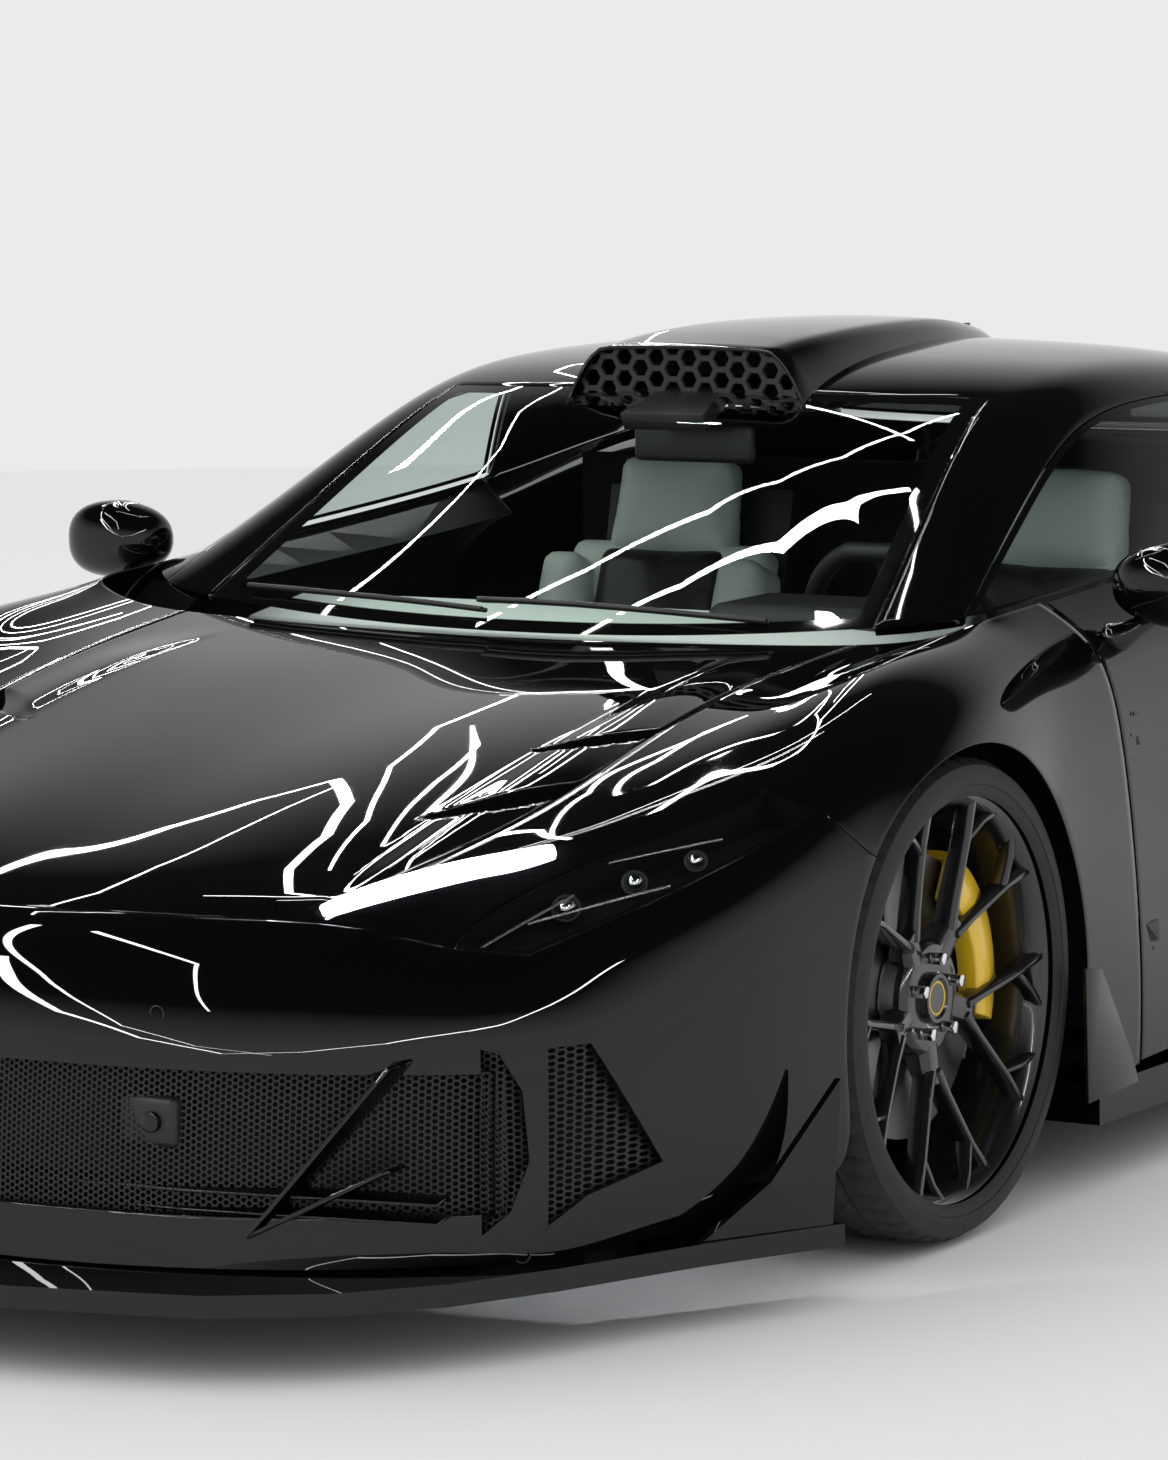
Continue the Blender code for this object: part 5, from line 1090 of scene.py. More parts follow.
mirror_low, mirror_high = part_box("mirror_left")
middle_y = (mirror_low.y + mirror_high.y) / 2 + 0.006
head_centre = Vector((mirror_high.x - 0.090, middle_y, mirror_high.z - 0.064))
head = mirror_head(head_centre, Vector((0.0885, 0.068, 0.0630)))
pair(head, "mirror_head", paint, "door_SIDE", "mirror_SIDE")
glass_place = head_centre + Vector((0.002, 0.0380, 0.0))
bpy.ops.mesh.primitive_circle_add(
    vertices=48, radius=1.0, fill_type="NGON", location=glass_place, rotation=facing_front
)
bpy.context.object.scale = (0.074, 0.052, 1.0)
pair(settled("mirror_glass"), "mirror_glass", chrome, "door_SIDE")
foot = skin_hit((1.3, head_centre.y - 0.045, 0.775), to_right) or Vector((0.80, head_centre.y, 0.78))
arm_steps = (
    (foot, (-0.012, 0.0, 0.0), 0.030), (foot, (0.018, 0.004, 0.004), 0.022),
    (foot, (0.040, 0.012, 0.020), 0.015), (head_centre, (-0.030, -0.010, -0.052), 0.014),
    (head_centre, (-0.010, 0.0, -0.030), 0.020),
)
arm_spots = [start + Vector(step) for start, step, radius in arm_steps]
arm = tube("mirror_arm", arm_spots, [radius for start, step, radius in arm_steps], 20)
pair(apply_modifier(arm, "SUBSURF", levels=1), "mirror_arm", paint, "door_SIDE")

for k, ends in enumerate(((-0.06, 0.355, -0.52, 0.405), (0.42, 0.375, -0.08, 0.375))):
    spots = line_on_skin(ends, 7, 0.010)
    edge = [p + Vector((0.0, 0.012, -0.003)) for p in spots]
    wiper = joined("wiper_%d" % k, [tube("arm", spots, 0.0045, 8), tube("edge", edge, 0.004, 6)])
    dressed(wiper, satin, "root")

# %% [markdown]
# The roof scoop: an arched shell that narrows towards the rear, with a coarse honeycomb in its mouth.

# %% Roof scoop
# Knots: (along, half width at the foot, half width at the top, height), as shares
scoop_knots = (
    (0.334, 0.226, 0.150, 1.010), (0.400, 0.230, 0.158, 1.022), (0.480, 0.222, 0.150, 1.027),
    (0.580, 0.192, 0.122, 1.021), (0.660, 0.140, 0.085, 0.999), (0.720, 0.080, 0.045, 0.970),
)
scoop_rows, scoop_columns, scoop_low = 30, 29, 0.925
crown_share, crown_drop = 0.62, 0.004


def scoop_arch(along_share, inset=0.0):
    foot_half, top_half, peak = (float(v) for v in smooth_value(scoop_knots, along_share))
    foot_x, top_x = foot_half * half_width - inset, top_half * half_width - inset
    low_z, high_z = scoop_low * roof_height, peak * roof_height - inset
    outline = []
    for t in np.linspace(-1.0, 1.0, scoop_columns):
        if abs(t) < crown_share:
            s = abs(t) / crown_share
            x, z = top_x * s, high_z - crown_drop * s ** 2
        else:
            s = (abs(t) - crown_share) / (1.0 - crown_share)
            x = top_x + (foot_x - top_x) * s ** 0.75
            z = high_z - crown_drop - (high_z - crown_drop - low_z) * s ** 1.35
        outline.append(Vector((math.copysign(x, t), front_axle_y + along_share * wheelbase, z)))
    return outline


rows = [scoop_arch(share) for share in np.linspace(scoop_knots[0][0], scoop_knots[-1][0], scoop_rows)]
scoop = mesh_piece("scoop_shell", [p for row in rows for p in row], grid_faces(scoop_rows, scoop_columns))
clean_normals(scoop)
apply_modifier(scoop, "SOLIDIFY", thickness=0.006, offset=-1.0)
dressed(shade(bevelled(scoop, 0.0018, 2, 60.0), 35.0), paint, "root", "roof_scoop")
mouth = [tuple(range(scoop_columns))]
comb = mesh_piece("scoop_comb", scoop_arch(0.341, 0.003), mouth)
apply_modifier(comb, "SOLIDIFY", thickness=0.008, offset=0.0)
dressed(comb, scoop_mesh, "root")
# A flat matt black sheet closes the scoop just behind the comb. It stands partly for the duct's black walls
# and partly for the shade deep inside the duct, which is painted shade.
dressed(mesh_piece("scoop_dark", scoop_arch(0.372, 0.006), mouth), matt, "root")

# %% [markdown]
# Wheels: five axes, each a Y whose arms split once more before the rim. Every beam has a narrow land on
# top and slanted flanks. The left wheel of an axle is drawn about its own axis, then set down and mirrored.

# %% Wheels
spoke_count, nut_count = 5, 5
spoke_degrees = 360.0 / spoke_count
split_share, fork_share, rim_share = 0.40, 0.80, 0.975
arm_degrees, branch_degrees = 22.0, 7.5
facing_side = (0.0, right_angle, 0.0)


def wheel_spot(radius, degrees, depth):
    """A point of the wheel: x is outwards from its face, y rearwards and z up."""
    angle = math.radians(degrees)
    return Vector((-depth, radius * math.sin(angle), radius * math.cos(angle)))


def beam(name, spots, widths, heights, land):
    """A straight or bent beam through spots, with a land on top that is narrower than its foot."""
    vertices = []
    for k, (spot, width, height) in enumerate(zip(spots, widths, heights)):
        along = spots[min(k + 1, len(spots) - 1)] - spots[max(k - 1, 0)]
        foot = along.cross(Vector(across)).normalized() * width / 2
        top, drop = foot * land, Vector((-height, 0.0, 0.0))
        waist, base = drop * 0.35, foot * 0.9
        steps = (top, -top, waist - foot, drop - base, drop + base, waist + foot)
        vertices += [spot + step for step in steps]
    faces = grid_faces(len(spots), 6, columns_close=True)
    faces += [tuple(range(5, -1, -1)), tuple(range(len(vertices) - 6, len(vertices)))]
    return mesh_piece(name, vertices, faces)


def spokes(radius):
    """One fifth of the wheel's face: a stem, two arms and two inner branches."""
    split, fork, rim = radius * split_share, radius * fork_share, radius * rim_share

    def dished(reach, degrees, rise=0.0):
        return wheel_spot(reach, degrees, 0.044 - 0.040 * (reach / radius) ** 1.3 + rise)

    stem = [dished(reach, 0.0, 0.002) for reach in (0.030, 0.060, split * 0.86, split * 1.06)]
    pieces = [beam("stem", stem, (0.050, 0.046, 0.044, 0.030), (0.040, 0.038, 0.034, 0.030), 0.62)]
    for turn in (1.0, -1.0):
        split_depth = -dished(split, 0.0).x
        arm = [wheel_spot(split * 0.90, turn * 4.0, split_depth)]
        bends = ((split * 1.25, 11.5), (fork, 18.6), (rim, arm_degrees))
        arm += [dished(reach, turn * degrees) for reach, degrees in bends]
        pieces.append(beam("arm", arm, (0.020, 0.015, 0.013, 0.017), (0.032, 0.031, 0.028, 0.026), 0.50))
        fork_depth = -dished(fork, 0.0, 0.002).x
        branch = [wheel_spot(fork * 0.985, turn * 18.2, fork_depth)]
        branch += [dished(rim * 0.93, turn * 12.0, 0.001), dished(rim, turn * branch_degrees)]
        pieces.append(beam("branch", branch, (0.012, 0.011, 0.014), (0.024, 0.022, 0.022), 0.52))
    return pieces


def lathe(name, section, steps=96, closed=False):
    """Turns a section of (depth, radius) about the wheel's axis."""
    turns = [360.0 * k / steps for k in range(steps)]
    vertices = [wheel_spot(radius, turn, depth) for turn in turns for depth, radius in section]
    faces = grid_faces(steps, len(section), rows_close=True, columns_close=closed)
    return clean_normals(mesh_piece(name, vertices, faces), 0.000001)


def wheel_face(name, radius, width):
    """The rim with its barrel, and the spokes, as one forged piece. Radii are given below the rim's."""
    drops = (
        (0.004, 0.007), (0.0, 0.003), (0.0, 0.0), (0.010, 0.0), (0.014, 0.010),
        (0.05, 0.016), (width * 0.5, 0.026), (width - 0.014, 0.012), (width - 0.010, 0.0), (width, 0.0),
        (width, 0.006), (width * 0.5, 0.032), (0.055, 0.024), (0.020, 0.018), (0.008, 0.012),
    )
    hub = (
        (0.046, 0.0), (0.046, 0.030), (0.040, 0.036), (0.040, 0.074),
        (0.050, 0.082), (0.110, 0.082), (0.110, 0.0),
    )
    pieces = [lathe("rim", [(depth, radius - drop) for depth, drop in drops], 128, True)]
    for n in range(spoke_count):
        turn = Matrix.Rotation(math.radians(-spoke_degrees * (n + 0.5)), 4, "X")
        for piece in spokes(radius):
            piece.data.transform(turn)
            pieces.append(piece)
    pieces.append(lathe("hub", hub, 64))
    return shade(bevelled(clean_normals(joined(name, pieces)), 0.0011, 2, 28.0), 40.0)


def nuts_piece(name):
    """The bright nuts round the cap."""
    places = [wheel_spot(0.056, 360.0 / nut_count * n, 0.030) for n in range(nut_count)]
    nuts = [cylinder("nut", place, 0.0095, 0.020, 6, facing_side, 0.0018) for place in places]
    return shade(joined(name, nuts), 35.0)


def cap_piece(name):
    """The dark cap, knurled round its edge."""
    section = ((0.046, 0.0), (0.0335, 0.0), (0.0335, 0.026), (0.030, 0.029), (0.030, 0.034), (0.046, 0.036))
    knurled_from, knurl_share, knurl_count = 0.031, 0.02, 24.0
    cap = lathe(name, section, 72)
    for vertex in cap.data.vertices:
        x, y, z = vertex.co
        if math.hypot(y, z) > knurled_from:
            grow = 1.0 + knurl_share * math.sin(math.atan2(y, z) * knurl_count)
            vertex.co = (x, y * grow, z * grow)
    return shade(cap, 40.0)


def disc_piece(name, radius, depth):
    """A brake disc with its bell."""
    thickness, bore = 0.032, 0.075
    section = [(depth, bore), (depth, radius), (depth + thickness, radius), (depth + thickness, bore)]
    steps = ((-0.030, 0.0), (-0.030, 0.078), (-0.002, 0.088), (-0.002, 0.095))
    bell = lathe("bell", [(depth + step, reach) for step, reach in steps], 64)
    return shade(joined(name, [lathe("disc", section, 120, True), bell]), 30.0)


def caliper_piece(name, radius, depth):
    """A caliper: a closed arc that bridges the disc's rear edge, with rounded corners."""
    first, last, count, end_drop = 28.0, 108.0, 14, 0.10
    section = (
        (-0.036, -0.060), (-0.040, -0.030), (-0.030, 0.008), (-0.004, 0.018), (0.036, 0.018), (0.060, 0.004),
        (0.060, -0.056), (0.040, -0.060), (0.040, 0.003), (-0.006, 0.003), (-0.006, -0.062),
    )
    size, vertices = len(section), []
    for t in np.linspace(0.0, 1.0, count):
        swell = 1.0 - end_drop * abs(2.0 * t - 1.0) ** 4
        degrees = first + (last - first) * t
        vertices += [wheel_spot(radius + r * swell, degrees, depth + d) for d, r in section]
    faces = grid_faces(count, size, columns_close=True)
    faces += [tuple(range(size)), tuple(range((count - 1) * size, count * size))[::-1]]
    return shade(bevelled(clean_normals(mesh_piece(name, vertices, faces)), 0.003, 2, 35.0), 40.0)


# %% [markdown]
# Tyres: one pitch of the tread, with its grooves sunk in, is repeated right round the tyre. The sidewall
# carries plain raised rings and no words.

# %% Tyres
pitch_count, pitch_rows, tread_columns = 56, 8, 27
groove_lines, groove_width, groove_deep = (-0.56, -0.19, 0.19, 0.56), 0.055, 0.0065
# The wall's knots: (share of the half width, drop below the crown, on a wall of the drawn height)
wall_knots = (
    (0.955, -0.013), (0.985, -0.024), (1.0, -0.036), (0.998, -0.040),
    (0.985, -0.041), (0.975, -0.050), (0.93, -0.0575),
)
drawn_wall = 0.0545


def groove_depth(place, around):
    """How deep the tread lies at a place: from -1 to 1 across it, and from 0 to 1 round the pitch."""
    off = abs(place)
    if 0.25 < off < 0.50 and (around - place * 0.9) % 1.0 < 0.14:
        return 0.0035
    if 0.62 < off and (around + off * 1.1) % 1.0 < 0.20:
        return 0.0050
    return groove_deep if any(abs(place - line) < groove_width for line in groove_lines) else 0.0


def tyre_piece(name, outer, bead, width):
    """Builds the tyre about its axis, its outer wall at x = 0."""
    half = width / 2
    outside = [(half * x, outer + drop * (outer - bead) / drawn_wall, None) for x, drop in wall_knots]
    section = [(-x, radius, None) for x, radius, _ in reversed(outside)]
    for k in range(tread_columns):
        place = -1.0 + 2.0 * k / (tread_columns - 1)
        drop = 0.0045 * abs(place) ** 2.4 + (0.006 if abs(place) > 0.97 else 0.0)
        section.append((place * half * 0.91, outer - drop, place if abs(place) < 0.985 else None))
    section += outside
    vertices, steps = [], pitch_count * pitch_rows
    for k in range(steps):
        around = (k % pitch_rows) / pitch_rows
        for x, radius, place in section:
            sunk = 0.0 if place is None else groove_depth(place, around)
            vertices.append(wheel_spot(radius - sunk, 360.0 * k / steps, half - x))
    faces = grid_faces(steps, len(section), rows_close=True, turned=True)
    return shade(clean_normals(mesh_piece(name, vertices, faces)), 32.0)


disc_share, disc_depth, rim_gap = 0.70, 0.078, 0.0005
axles = (("front", front_axle_y), ("rear", rear_axle_y))
for (axle, axle_y), height in zip(axles, wheel_heights):
    wheel_low, wheel_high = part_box("wheel_%s_left" % axle)
    tyre_low, tyre_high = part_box("tyre_%s_left" % axle)
    rim_radius = (wheel_high.z - wheel_low.z) / 2
    disc_radius = rim_radius * disc_share
    wheel, knuckle = "wheel_%s_SIDE" % axle, "knuckle_%s_SIDE" % axle
    if knuckle.replace("SIDE", "left") not in frame["bodies"]:
        knuckle = "root"
    tyre = tyre_piece("tyre", tyre_high.z - height, rim_radius, tyre_high.x - tyre_low.x)
    tyre.data.transform(Matrix.Translation((tyre_high.x - wheel_high.x, 0.0, 0.0)))
    wheel_width = wheel_high.x - wheel_low.x
    cap_ring = torus("ring", (-0.0335, 0.0, 0.0), 0.0225, 0.0016, (0.0, 90.0, 0.0), (48, 10))
    for stem, piece, finish, body, node in (
        ("wheel", wheel_face("wheel", rim_radius - rim_gap, wheel_width), forged, wheel, wheel),
        ("nuts", nuts_piece("nuts"), chrome, wheel, None),
        ("cap", cap_piece("cap"), forged, wheel, None),
        ("cap_ring", cap_ring, yellow, wheel, None),
        ("disc", disc_piece("disc", disc_radius, disc_depth), disc_iron, wheel, None),
        ("caliper", caliper_piece("caliper", disc_radius, disc_depth), yellow, knuckle, None),
        ("tyre", tyre, rubber, wheel, "tyre_%s_SIDE" % axle),
    ):
        piece.data.transform(Matrix.Translation((wheel_high.x, axle_y, height)))
        pair(piece, axle + "_" + stem, finish, body, node)

# %% [markdown]
# Cabin. The seat pads are remeshed blocks that a short cloth run inflates: sides pull in and corners go
# soft, as sewn leather over foam does. A cap keeps every point near its start.

# %% Seats
pad_voxel, pad_swell, pad_pressure, pad_frames = 0.009, 0.010, 4.0, 20


def pad(name, centre, size, tilt, squeeze=0.0):
    """A stuffed pad: a block, remeshed, inflated as cloth, and capped."""
    piece = rounded_box(name, (0.0, 0.0, 0.0), size, min(size) * 0.28)
    for vertex in piece.data.vertices:
        vertex.co.x *= 1.0 - squeeze * (vertex.co.z / size[2] + 0.5)
    piece.data.transform(Matrix.Translation(centre) @ Matrix.Rotation(math.radians(tilt), 4, "X"))
    apply_modifier(piece, "REMESH", mode="VOXEL", voxel_size=pad_voxel)
    start = [v.co.copy() for v in piece.data.vertices]
    work_on(piece)
    cloth = piece.modifiers.new("cloth", "CLOTH")
    cloth.settings.use_pressure = True
    cloth.settings.uniform_pressure_force = pad_pressure
    cloth.settings.quality = 4
    cloth.settings.effector_weights.gravity = 0.0
    cloth.point_cache.frame_start, cloth.point_cache.frame_end = 1, pad_frames
    for step in range(1, pad_frames + 1):
        bpy.context.scene.frame_set(step)
    bpy.ops.object.modifier_apply(modifier=cloth.name)
    bpy.context.scene.frame_set(1)
    for vertex, old in zip(piece.data.vertices, start):
        move = vertex.co - old
        if move.length > pad_swell:
            vertex.co = old + move.normalized() * pad_swell
    return shade(piece, 70.0)


seat_low, seat_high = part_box("seat_left")
seat_x, seat_y, cushion_z = (seat_low.x + seat_high.x) / 2, seat_low.y, seat_low.z + 0.150
# Pads: (name, sideways, rearwards, up from the cushion, size, tilt, squeeze, finish)
pads = (
    ("seat_cushion", 0.0, 0.250, 0.0, (0.30, 0.42, 0.085), 6.0, 0.0, dark_leather),
    ("seat_back", 0.0, 0.545, 0.300, (0.29, 0.080, 0.46), -22.0, 0.12, dark_leather),
    ("seat_headrest", 0.0, 0.655, 0.580, (0.235, 0.075, 0.170), -14.0, 0.10, pale_leather),
)
bolsters = (
    ("cushion_bolster", -0.180, 0.245, 0.020, (0.075, 0.42, 0.120), 6.0),
    ("back_bolster", -0.172, 0.520, 0.290, (0.080, 0.120, 0.44), -22.0),
    ("shoulder_roll", -0.125, 0.628, 0.455, (0.13, 0.085, 0.13), -20.0),
)
for stem, x, y, z, size, tilt, squeeze, finish in pads:
    left = pad(stem, (seat_x + x, seat_y + y, cushion_z + z), size, tilt, squeeze)
    for made in pair(left, stem, finish, "root", "seat_SIDE"):
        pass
for stem, x, y, z, size, tilt in bolsters:
    inner = pad(stem, (seat_x + x, seat_y + y, cushion_z + z), size, tilt)
    outer = copied(inner, stem + "_outer", Matrix.Translation((2.0 * seat_x, 0.0, 0.0)) @ mirror_x)
    for made in pair(shade(joined(stem, [inner, outer]), 70.0), stem, pale_leather):
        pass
shell_width = 0.36
shell_profile = (
    (0.02, 0.02), (0.50, 0.0), (0.62, 0.10), (0.795, 0.62), (0.780, 0.76),
    (0.735, 0.76), (0.700, 0.60), (0.560, 0.19), (0.46, 0.105), (0.03, 0.100),
)
shell = [Vector((seat_x, seat_y + y, seat_low.z + z)) for y, z in shell_profile]
pair(blade("seat_shell", shell, shell_width, across), "seat_shell", dark_leather)

# %% Dashboard
dash_low, dash_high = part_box("dashboard")
dressed(core_of("dashboard", "dash_main", 0.004), dark_leather, "root", "dashboard")
shelf_half, shelf_columns, shelf_points = 0.600, 25, []
for t in np.linspace(-1.0, 1.0, shelf_columns):
    front_y, rear_y = dash_low.y + 0.012 + 0.050 * t * t, dash_low.y + 0.165 + 0.060 * t * t
    shelf_points.append(Vector((t * shelf_half, front_y, dash_high.z + 0.002)))
    shelf_points.append(Vector((t * shelf_half, rear_y, dash_high.z + 0.034 - 0.010 * t * t)))
shelf = mesh_piece("dash_shelf", shelf_points, grid_faces(shelf_columns, 2, turned=True))
apply_modifier(shelf, "SOLIDIFY", thickness=0.020, offset=-1.0)
dressed(shade(clean_normals(bevelled(shelf, 0.006, 3, 40.0)), 50.0), pale_leather, "root")
wheel_low, wheel_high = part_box("steering_wheel")
hub = middle_of(wheel_low, wheel_high)
hood = (hub.x, dash_low.y + 0.235, dash_high.z + 0.012)
for name, centre, size, rounding, segments, finish in (
    ("binnacle", hood, (0.36, 0.20, 0.070), 0.026, 4, dark_leather),
    ("display", (0.0, dash_high.y - 0.030, dash_high.z - 0.085), (0.20, 0.012, 0.075), 0.003, 3, paint),
    ("inner_mirror", axle_point(0.0, 0.90, 1.020), (0.215, 0.022, 0.060), 0.010, 3, satin),
):
    dressed(rounded_box(name, centre, size, rounding, segments), finish, "root")
for k, x in enumerate((-0.44, -0.02, 0.07, 0.56)):
    place = (x, dash_high.y - 0.045, dash_high.z - 0.030)
    dressed(torus("air_vent_%d" % k, place, 0.030, 0.005, (78.0, 0.0, 0.0)), chrome, "root")
pod = ((-0.075, 0.800, 1.060), (0.075, 0.800, 1.060), (0.050, 0.915, 1.098), (-0.050, 0.915, 1.098))
pod = [axle_point(*spot) for spot in pod]
dressed(blade("screen_camera", pod, 0.030, (0.0, -0.5, 1.0)), satin, "root")

# %% Steering wheel
rim_radius = (wheel_high.x - wheel_low.x) / 2 - 0.016
rim_floor = -0.90 * rim_radius
axis = next(Vector(joint["axis"]) for joint in frame["joints"] if joint["name"] == "steering_wheel_turn")
turn = Vector(upright).rotation_difference(axis.normalized())
to_wheel = Matrix.Translation(hub) @ turn.to_matrix().to_4x4()


def rim_arc(first, last, count):
    """Spots on the steering wheel's rim, which is flat at its foot."""
    spots = []
    for angle in np.radians(np.linspace(first, last, count)):
        x, y = rim_radius * math.cos(angle), rim_radius * math.sin(angle)
        spots.append(Vector((x, max(y, rim_floor), 0.0)))
    return spots


grip = tube("wheel_rim", rim_arc(0.0, 360.0, 97), 0.0155)
arcs = [tube("arc", rim_arc(*ends, 17), 0.0162) for ends in ((20.0, 70.0), (110.0, 160.0))]
arcs = joined("wheel_rim_pale", arcs)
spoke_corners = (
    ((0.03, 0.02), (rim_radius, 0.028), (rim_radius, -0.012), (0.03, -0.035)),
    ((-0.03, 0.02), (-0.03, -0.035), (-rim_radius, -0.012), (-rim_radius, 0.028)),
    ((-0.022, -0.03), (0.022, -0.03), (0.030, -rim_radius * 0.89), (-0.030, -rim_radius * 0.89)),
)
parts = [blade("spoke", [Vector((*p, 0.0)) for p in corners], 0.012, upright) for corners in spoke_corners]
parts.append(rounded_box("centre_pad", (0.0, 0.0, 0.0), (0.130, 0.110, 0.045), 0.018, 4))
for piece in (grip, arcs, joined("wheel_centre", parts)):
    piece.data.transform(to_wheel)
dressed(grip, dark_leather, "steering_wheel", "steering_wheel")
dressed(arcs, pale_leather, "steering_wheel")
dressed(parts[0], satin, "steering_wheel")

# %% [markdown]
# The rear is not in the photograph. It gets what such cars have: red lamps in dark bowls, round pipes in
# the middle and plain slats.

# %% Rear
for side in sides:
    name = "tail_lamp_" + side
    dressed(bowl_of(name, 0.001, 0.030, name + "_bowl"), matt, "root")
    lens = thickened(drawn_in(sheets[name], 0.0015), skin_depth)
    dressed(renamed(lens, name + "_lens"), red_lens, "root", name)
behind, pipe_height = 4.0, 0.335
pipe_section = (
    (0.0, 0.044), (-0.004, 0.0465), (0.0, 0.049), (0.075, 0.049),
    (0.075, 0.0), (0.072, 0.0), (0.072, 0.044),
)
for k, x in enumerate((0.055, 0.165)):
    end_y = skin_hit((x, behind, pipe_height), forwards).y
    pipe = lathe("pipe", pipe_section, 48, True)
    turn = Matrix.Rotation(right_angle, 4, "Z")
    pipe.data.transform(Matrix.Translation((x, end_y + 0.004, pipe_height)) @ turn)
    pair(shade(pipe, 40.0), "exhaust_%d" % k, chrome)
plate = rounded_box("exhaust_panel", (0.0, end_y + 0.001, pipe_height), (0.50, 0.006, 0.130), 0.002)
dressed(plate, satin, "root")
for k, x in enumerate((0.22, 0.27, 0.32, 0.37, 0.42)):
    spots = [skin_hit((x, behind, z), forwards) + Vector((0.0, 0.001, 0.0)) for z in (0.30, 0.40)]
    pair(tube("slat", spots, 0.004, 8), "rear_slat_%d" % k, satin)
lid_low, lid_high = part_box("engine_lid")
for k, y in enumerate(np.linspace(0.20, 0.80, 6) * (lid_high.y - lid_low.y) + lid_low.y):
    spots = [skin_hit((x, y, 2.0), down) + Vector((0.0, 0.0, 0.0005)) for x in np.linspace(-0.34, 0.34, 9)]
    dressed(tube("lid_slat_%d" % k, spots, 0.005, 8), satin, "engine_lid")

# %% [markdown]
# Solids that already have their real shape stay, and get a finish of their own.

# %% Kept solids
kept = {
    "tub": matt, "front_subframe": satin, "rear_subframe": satin, "engine_block": forged,
    "front_splitter": paint, "rear_wing": paint, "rear_diffuser": paint,
}
for side in sides:
    kept["side_skirt_" + side] = paint
    kept["knuckle_front_" + side] = kept["knuckle_rear_" + side] = machined
for name, finish in kept.items():
    for place in frame["nodes"][name].material_slots:
        place.material = finish.material

# %% [markdown]
# The studio: a pale floor that runs to a pale backdrop, soft light from all round, and a dark ceiling that
# only reflections see, with thin lit frames that draw the white contour lines on the paint and the glass.

# %% Studio
def light_strip(name, spots, height, width):
    """A lit strip along spots on the ceiling, measured from the front axle. Only reflections see it."""
    points = []
    for k, (x, y) in enumerate(spots):
        before, after = spots[max(k - 1, 0)], spots[min(k + 1, len(spots) - 1)]
        along = Vector((after[0] - before[0], after[1] - before[1])).normalized() * width / 2
        points += [axle_point(x - along.y * side, y + along.x * side, height) for side in (1.0, -1.0)]
    piece = glow.wear(mesh_piece(name, points, grid_faces(len(spots), 2)))
    piece.visible_camera = piece.visible_diffuse = piece.visible_shadow = False


glow = Finish("strip_glow", None, (0.0, 0.0, 0.0), 1.0)
glow.surface(glow.node("ShaderNodeEmission", {"Color": (1.0, 1.0, 1.0, 1.0), "Strength": 40.0}))
floor_reach, floor_width = 21.1, 60.0
camera_place = axle_point(4.40095, -6.80382, 1.71004)
yaw, pitch, roll = 0.539622, 0.128494, -0.0149411
middle = camera_place + Vector((-math.sin(yaw), math.cos(yaw), 0.0)) * (floor_reach - floor_width / 2)
middle.z = 0.0
bpy.ops.mesh.primitive_plane_add(size=floor_width, location=middle, rotation=(0.0, 0.0, yaw))
floor_paint = Finish("floor_paint", None, (0.80, 0.795, 0.80), 0.8, Specular_IOR_Level=0.0)
floor_paint.uneven(0.8, 0.1, 0.75)
floor_paint.wear(renamed(bpy.context.object, "studio_floor"))

low_ceiling, high_ceiling = 3.6, 12.0
low_strips = (
    (0.012, (
        (-1.95, 1.24), (-1.57, 1.32), (-1.15, 1.47), (-0.92, 1.63), (-0.76, 1.90), (-0.68, 2.35), (-0.70, 2.9),
    )),
    (0.007, ((-1.52, 1.16), (-1.22, 1.30), (-0.93, 1.48), (-0.72, 1.66), (-0.56, 1.84))),
    (0.007, ((-0.54, 1.86), (-0.62, 1.70), (-0.74, 1.56), (-0.86, 1.44))),
)
high_strips = (
    (0.085, ((-11.0, 8.0), (-12.4, 12.0), (-13.2, 14.6), (-13.6, 16.6), (-13.4, 17.6))),
    (0.120, ((-13.4, 17.6), (-10.9, 14.5), (-9.4, 12.2), (-8.6, 10.3), (-7.2, 7.9), (-6.6, 7.6))),
    (0.028, ((-8.6, 3.2), (-9.7, 7.5), (-10.9, 10.8), (-11.8, 13.9), (-12.7, 16.7), (-13.4, 17.6))),
    (0.040, ((-21.7, 35.2), (-20.2, 30.6), (-17.2, 24.6), (-13.1, 18.0), (-9.4, 12.8), (-8.0, 10.3))),
    (0.028, ((-21.7, 35.2), (-16.3, 25.6), (-12.0, 18.3), (-8.9, 13.4))),
    (0.040, ((-54.0, 92.0), (-20.5, 33.5), (-6.5, 9.9), (-4.1, 6.9))),
    (0.028, ((-16.3, 23.8), (-8.3, 11.9), (-5.4, 8.5))),
    (0.028, ((-16.3, 23.8), (-13.3, 19.4), (-10.4, 14.8), (-8.1, 11.3))),
    (0.50, (
        (-8.6, -5.8), (-11.8, -22.6), (-10.8, -43.3), (-2.0, -65.9), (11.1, -59.6),
        (21.1, -43.0), (20.8, -25.4), (15.8, -5.3), (14.4, -1.1),
    )),
    (0.12, ((-6.9, 0.2), (-5.1, -3.3), (-3.4, -6.6), (-2.2, -18.2))),
    (0.16, ((-8.0, 1.2), (-8.2, -12.3), (-9.7, -30.9), (-5.2, -52.3), (6.4, -67.9))),
)
for height, strips in ((low_ceiling, low_strips), (high_ceiling, high_strips)):
    for k, (width, spots) in enumerate(strips):
        light_strip("strip_%d_%d" % (height, k), spots, height, width)

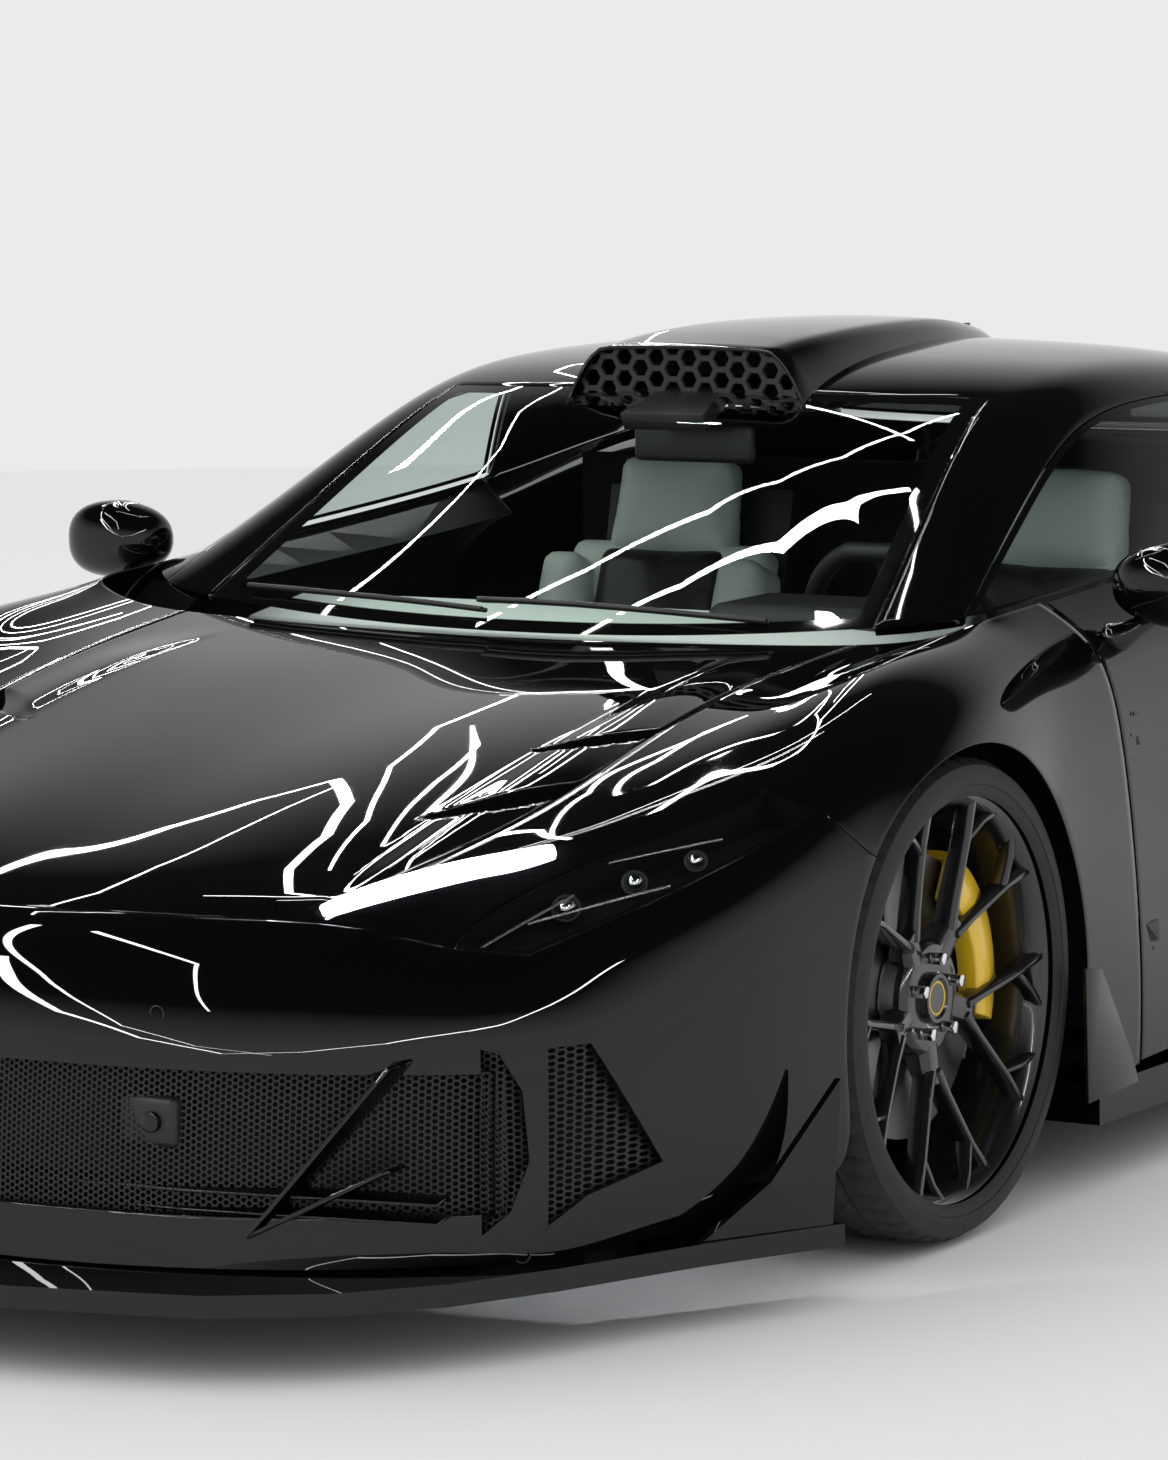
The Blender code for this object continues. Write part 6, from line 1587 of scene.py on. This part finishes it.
world = bpy.data.worlds.new("studio_world")
bpy.context.scene.world = world
world.use_nodes = True
sky = Nodes(world.node_tree)
sky.tree.nodes.clear()
rise = sky.node("ShaderNodeSeparateXYZ", {0: sky.node("ShaderNodeTexCoord", output="Generated")}, "Z")
ceiling = sky.node("ShaderNodeValToRGB", {"Fac": rise})
stops = ((0.0, 0.80), (0.22, 0.74), (0.42, 0.40), (0.60, 0.02), (1.0, 0.004))
elements = ceiling.socket.node.color_ramp.elements
while len(elements) < len(stops):
    elements.new(1.0)
for element, (place, value) in zip(elements, stops):
    element.position = place
    element.color = (value, value, value, 1.0)
backdrop, mirrored, soft_light = (
    sky.node("ShaderNodeBackground", {"Color": colour, "Strength": strength})
    for colour, strength in (((0.835, 0.83, 0.84, 1.0), 1.0), (ceiling, 1.0), ((1.0, 0.995, 1.0, 1.0), 0.98))
)
glossy, seen, passed = (
    sky.node("ShaderNodeLightPath", output="Is %s Ray" % kind)
    for kind in ("Glossy", "Camera", "Transmission")
)
shown = sky.blend(seen.most(passed), sky.blend(glossy, soft_light, mirrored), backdrop)
sky.put(sky.tree.nodes.new("ShaderNodeOutputWorld").inputs["Surface"], shown)

key_tilt = math.radians(-28.0)
bpy.ops.object.light_add(type="AREA", location=(-3.0, 1.0, 5.0), rotation=(0.0, key_tilt, 0.0))
key = bpy.context.object
key.name = "soft_key"
key.data.shape = "RECTANGLE"
key.data.size, key.data.size_y = 5.0, 7.0
key.data.energy = 50.0
key.visible_glossy = False

# %% [markdown]
# The camera stands where the photograph's perspective puts it, solved from the wheels and the body lines.

# %% Camera
focal_pixels, photo_height, sensor_width = 5601.99, 1460.0, 36.0
bpy.ops.object.camera_add()
camera = bpy.context.object
camera.name = "photo_camera"
bpy.context.scene.camera = camera
ahead = Vector((-math.sin(yaw) * math.cos(pitch), math.cos(yaw) * math.cos(pitch), -math.sin(pitch)))
right = ahead.cross(Vector(upright)).normalized()
up = right.cross(ahead)
turned_right = right * math.cos(roll) + up * math.sin(roll)
turned_up = up * math.cos(roll) - right * math.sin(roll)
pose = Matrix((turned_right, turned_up, -ahead)).transposed().to_4x4()
camera.matrix_world = Matrix.Translation(camera_place) @ pose
camera.data.sensor_width = sensor_width
camera.data.lens = focal_pixels / photo_height * sensor_width
camera.data.clip_end = 200.0
bpy.context.scene.view_settings.view_transform = "Standard"
